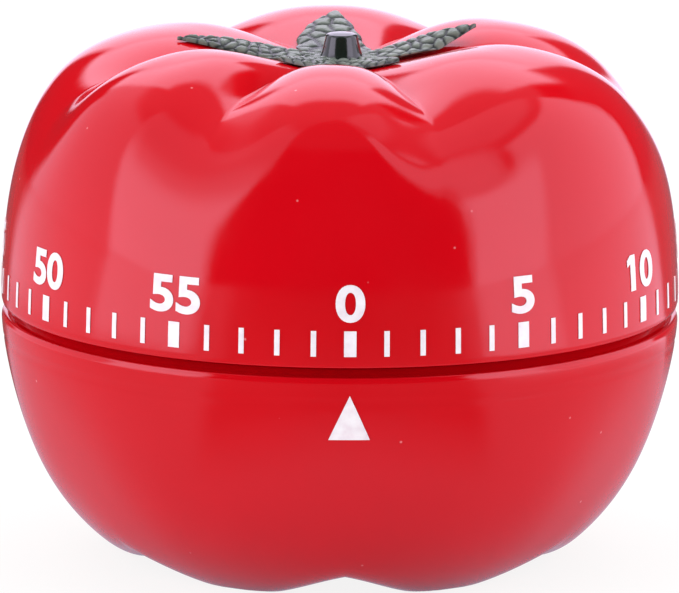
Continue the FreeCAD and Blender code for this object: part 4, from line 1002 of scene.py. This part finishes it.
# ---------------------------------------------------------------- the pieces
red = red_plastic()
ink = white_ink()

shell = dial_shell()
finish_with(shell, red)
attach(shell, "dial")
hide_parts("upper_shell")

cup = base_shell()
finish_with(cup, red)
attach(cup, "base")
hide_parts("lower_shell")

bosses = base_bosses()
finish_with(bosses, red)
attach(bosses, "base")

for made in (scale_marks(), scale_numerals()):
    finish_with(made, ink)
    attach(made, "dial")
arrow = pointer()
finish_with(arrow, ink)
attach(arrow, "base")

green = leaves()
finish_with(green, leaf_material())
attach(green, "dial")
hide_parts("calyx")

stalk = stem()
finish_with(stalk, stem_material())
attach(stalk, "dial")
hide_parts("stalk")

finishes = {slot: metal(*look) for slot, look in METALS.items()}
finishes["nylon"] = plain_plastic(*NYLON)
for row in frame["record"]["subparts"]:
    if row["material_slot"] in finishes:
        node, finish = frame["nodes"][row["node"]], finishes[row["material_slot"]]
        for material_slot in node.material_slots:
            material_slot.material = finish
        if not node.material_slots:
            node.data.materials.append(finish)

# ---------------------------------------------------------------- studio


def maximum(tree, *sources):
    """Largest of several values."""
    last = sources[0]
    for source in sources[1:]:
        last = calculated(tree, "MAXIMUM", last, source)
    return last


def between(tree, share, first, second):
    """Shader that takes its share of the second and the rest of the first."""
    node = tree.nodes.new("ShaderNodeMixShader")
    for socket, source in zip(node.inputs, (share, first, second)):
        tree.links.new(source, socket)
    return node.outputs[0]


def soft_step(x):
    """From 0 to 1 as x goes from -0.5 to 0.5."""
    x = min(1.0, max(0.0, x + 0.5))
    return x * x * (3 - 2 * x)


def painted(start, rows, bearing, level):
    """Brightness at a bearing and level: each soft-edged patch covers those before it."""
    value = start
    for from_b, to_b, from_l, to_l, soft_b, soft_l, glow in rows:
        off = abs((bearing - (from_b + to_b) / 2 + 180.0) % 360.0 - 180.0)
        weight = soft_step(((to_b - from_b) / 2 - off) / soft_b) if to_b - from_b < 360 else 1.0
        weight *= soft_step((level - from_l) / soft_l) * soft_step((to_l - level) / soft_l)
        value += weight * (glow - value)
    return value


def glow_of(tree):
    """Shader that shines as the mesh's glow attribute says."""
    light = tree.nodes.new("ShaderNodeEmission")
    tree.links.new(attribute(tree, "glow"), light.inputs["Color"])
    light.inputs["Strength"].default_value = 1.0
    return light.outputs[0]


def staged(obj, mat, glow):
    """Finishes a piece of the studio, which lights nothing but what mirrors it."""
    paint_points(obj, "glow", glow, GLOW_TINT)
    mat.cycles.emission_sampling = "NONE"
    obj.data.materials.append(mat)


def floor():
    """Pale floor: white to the camera under the object's shadow, bright patches to glossy surfaces."""
    verts, glow = [], []
    for i in range(STAGE_ROWS):
        r = STAGE_IN_R + STAGE_OUT_R * (i / (STAGE_ROWS - 1)) ** STAGE_POWER
        for j in range(STAGE_COLS):
            bearing = 360.0 * j / STAGE_COLS
            verts.append((*polar(r, bearing), STAGE_Z))
            glow.append(painted(STAGE_START, STAGE, bearing, r))
    faces = ring_faces(STAGE_ROWS, STAGE_COLS) + [tuple(range(STAGE_COLS))]
    obj = piece("floor", verts, faces, scale=1.0)
    mat, tree, shader = new_material("pale_floor")
    shader.inputs["Base Color"].default_value = STAGE_COLOUR
    shader.inputs["Roughness"].default_value = STAGE_ROUGH
    shader.inputs["Specular IOR Level"].default_value = 0.0
    white = tree.nodes.new("ShaderNodeEmission").outputs[0]
    path = tree.nodes.new("ShaderNodeLightPath").outputs
    seen = maximum(tree, path["Is Camera Ray"], path["Is Transmission Ray"])
    glossy = path["Is Glossy Ray"]
    share = maximum(tree, calculated(tree, "MULTIPLY", seen, STAGE_WHITE),
                    calculated(tree, "MULTIPLY", glossy, STAGE_GLOSS))
    shine = between(tree, glossy, white, glow_of(tree))
    out = next(n for n in tree.nodes if n.type == "OUTPUT_MATERIAL")
    tree.links.new(between(tree, share, shader.outputs[0], shine), out.inputs[0])
    staged(obj, mat, glow)


def tent():
    """Round tent of pale and black cloth that the glossy pieces mirror."""
    verts, glow = [], []
    for i in range(TENT_LIFTS + 1):
        lift = TENT_LOW + TENT_SPAN * i / TENT_LIFTS
        for j in range(TENT_TURNS):
            bearing = 360.0 * j / TENT_TURNS
            x, y = polar(TENT_R * math.cos(math.radians(lift)), bearing)
            verts.append((x, y, TENT_R * math.sin(math.radians(lift))))
            glow.append(painted(TENT_START, TENT, bearing, lift))
    obj = piece("tent", verts, ring_faces(TENT_LIFTS + 1, TENT_TURNS), smooth=False, scale=1.0)
    mat, tree, shader = new_material("tent_cloth")
    out = next(n for n in tree.nodes if n.type == "OUTPUT_MATERIAL")
    tree.links.new(glow_of(tree), out.inputs[0])
    tree.nodes.remove(shader)
    obj.visible_camera = False
    obj.visible_shadow = False
    obj.visible_diffuse = False
    staged(obj, mat, glow)


def lamp_at(name, bearing, lift, distance, wide, high, radiance):
    """Area lamp facing the object from a bearing off the front and a height angle, in degrees."""
    data = bpy.data.lights.new(name, "AREA")
    data.shape = "RECTANGLE"
    data.size, data.size_y = wide, high
    data.energy = radiance * math.pi * wide * high
    lamp = bpy.data.objects.new(name, data)
    bpy.context.scene.collection.objects.link(lamp)
    x, y = polar(1.0, bearing)
    e = math.radians(lift)
    back = Vector((x * math.cos(e), y * math.cos(e), math.sin(e)))
    lamp.location = back * distance + Vector((0, 0, LAMP_AIM_Z))
    lamp.rotation_mode = "QUATERNION"
    lamp.rotation_quaternion = (-back).to_track_quat("-Z", "Y")
    lamp.visible_camera = False
    lamp.visible_glossy = False


def background(tree, strength):
    """White background of a given strength."""
    node = tree.nodes.new("ShaderNodeBackground")
    node.inputs["Color"].default_value = (1.0, 1.0, 1.0, 1.0)
    node.inputs["Strength"].default_value = strength
    return node.outputs[0]


floor()
tent()
for name, row in LAMPS.items():
    lamp_at(name, *row)

world = bpy.data.worlds.new("studio")
bpy.context.scene.world = world
world.use_nodes = True
sky = world.node_tree
sky.nodes.clear()
path = sky.nodes.new("ShaderNodeLightPath").outputs
seen = maximum(sky, path["Is Camera Ray"], path["Is Glossy Ray"], path["Is Transmission Ray"])
last = sky.nodes.new("ShaderNodeOutputWorld")
sky.links.new(between(sky, seen, background(sky, WORLD_FILL), background(sky, 1.0)), last.inputs[0])

# ---------------------------------------------------------------- camera
back = Vector((-math.sin(CAM_TURN) * math.cos(CAM_LIFT),
               -math.cos(CAM_TURN) * math.cos(CAM_LIFT),
               math.sin(CAM_LIFT)))
right = Vector((math.cos(CAM_TURN), -math.sin(CAM_TURN), 0.0))
up = back.cross(right)
camera_data = bpy.data.cameras.new("camera")
camera = bpy.data.objects.new("camera", camera_data)
bpy.context.scene.collection.objects.link(camera)
bpy.context.scene.camera = camera
camera_data.sensor_fit = "HORIZONTAL"
camera_data.sensor_width = SENSOR
camera_data.lens = SENSOR * CAM_AWAY / VIEW_WIDTH
camera_data.shift_x, camera_data.shift_y = VIEW_SHIFT
camera.location = (Vector((0, 0, CAM_AIM_Z)) + back * CAM_AWAY) * MM
turn = Matrix((right, up, back)).transposed().to_4x4()
camera.rotation_mode = "QUATERNION"
camera.rotation_quaternion = (turn @ Matrix.Rotation(CAM_ROLL, 4, "Z")).to_quaternion()
camera_data.clip_start, camera_data.clip_end = CLIP

bpy.context.scene.view_settings.view_transform = "Standard"
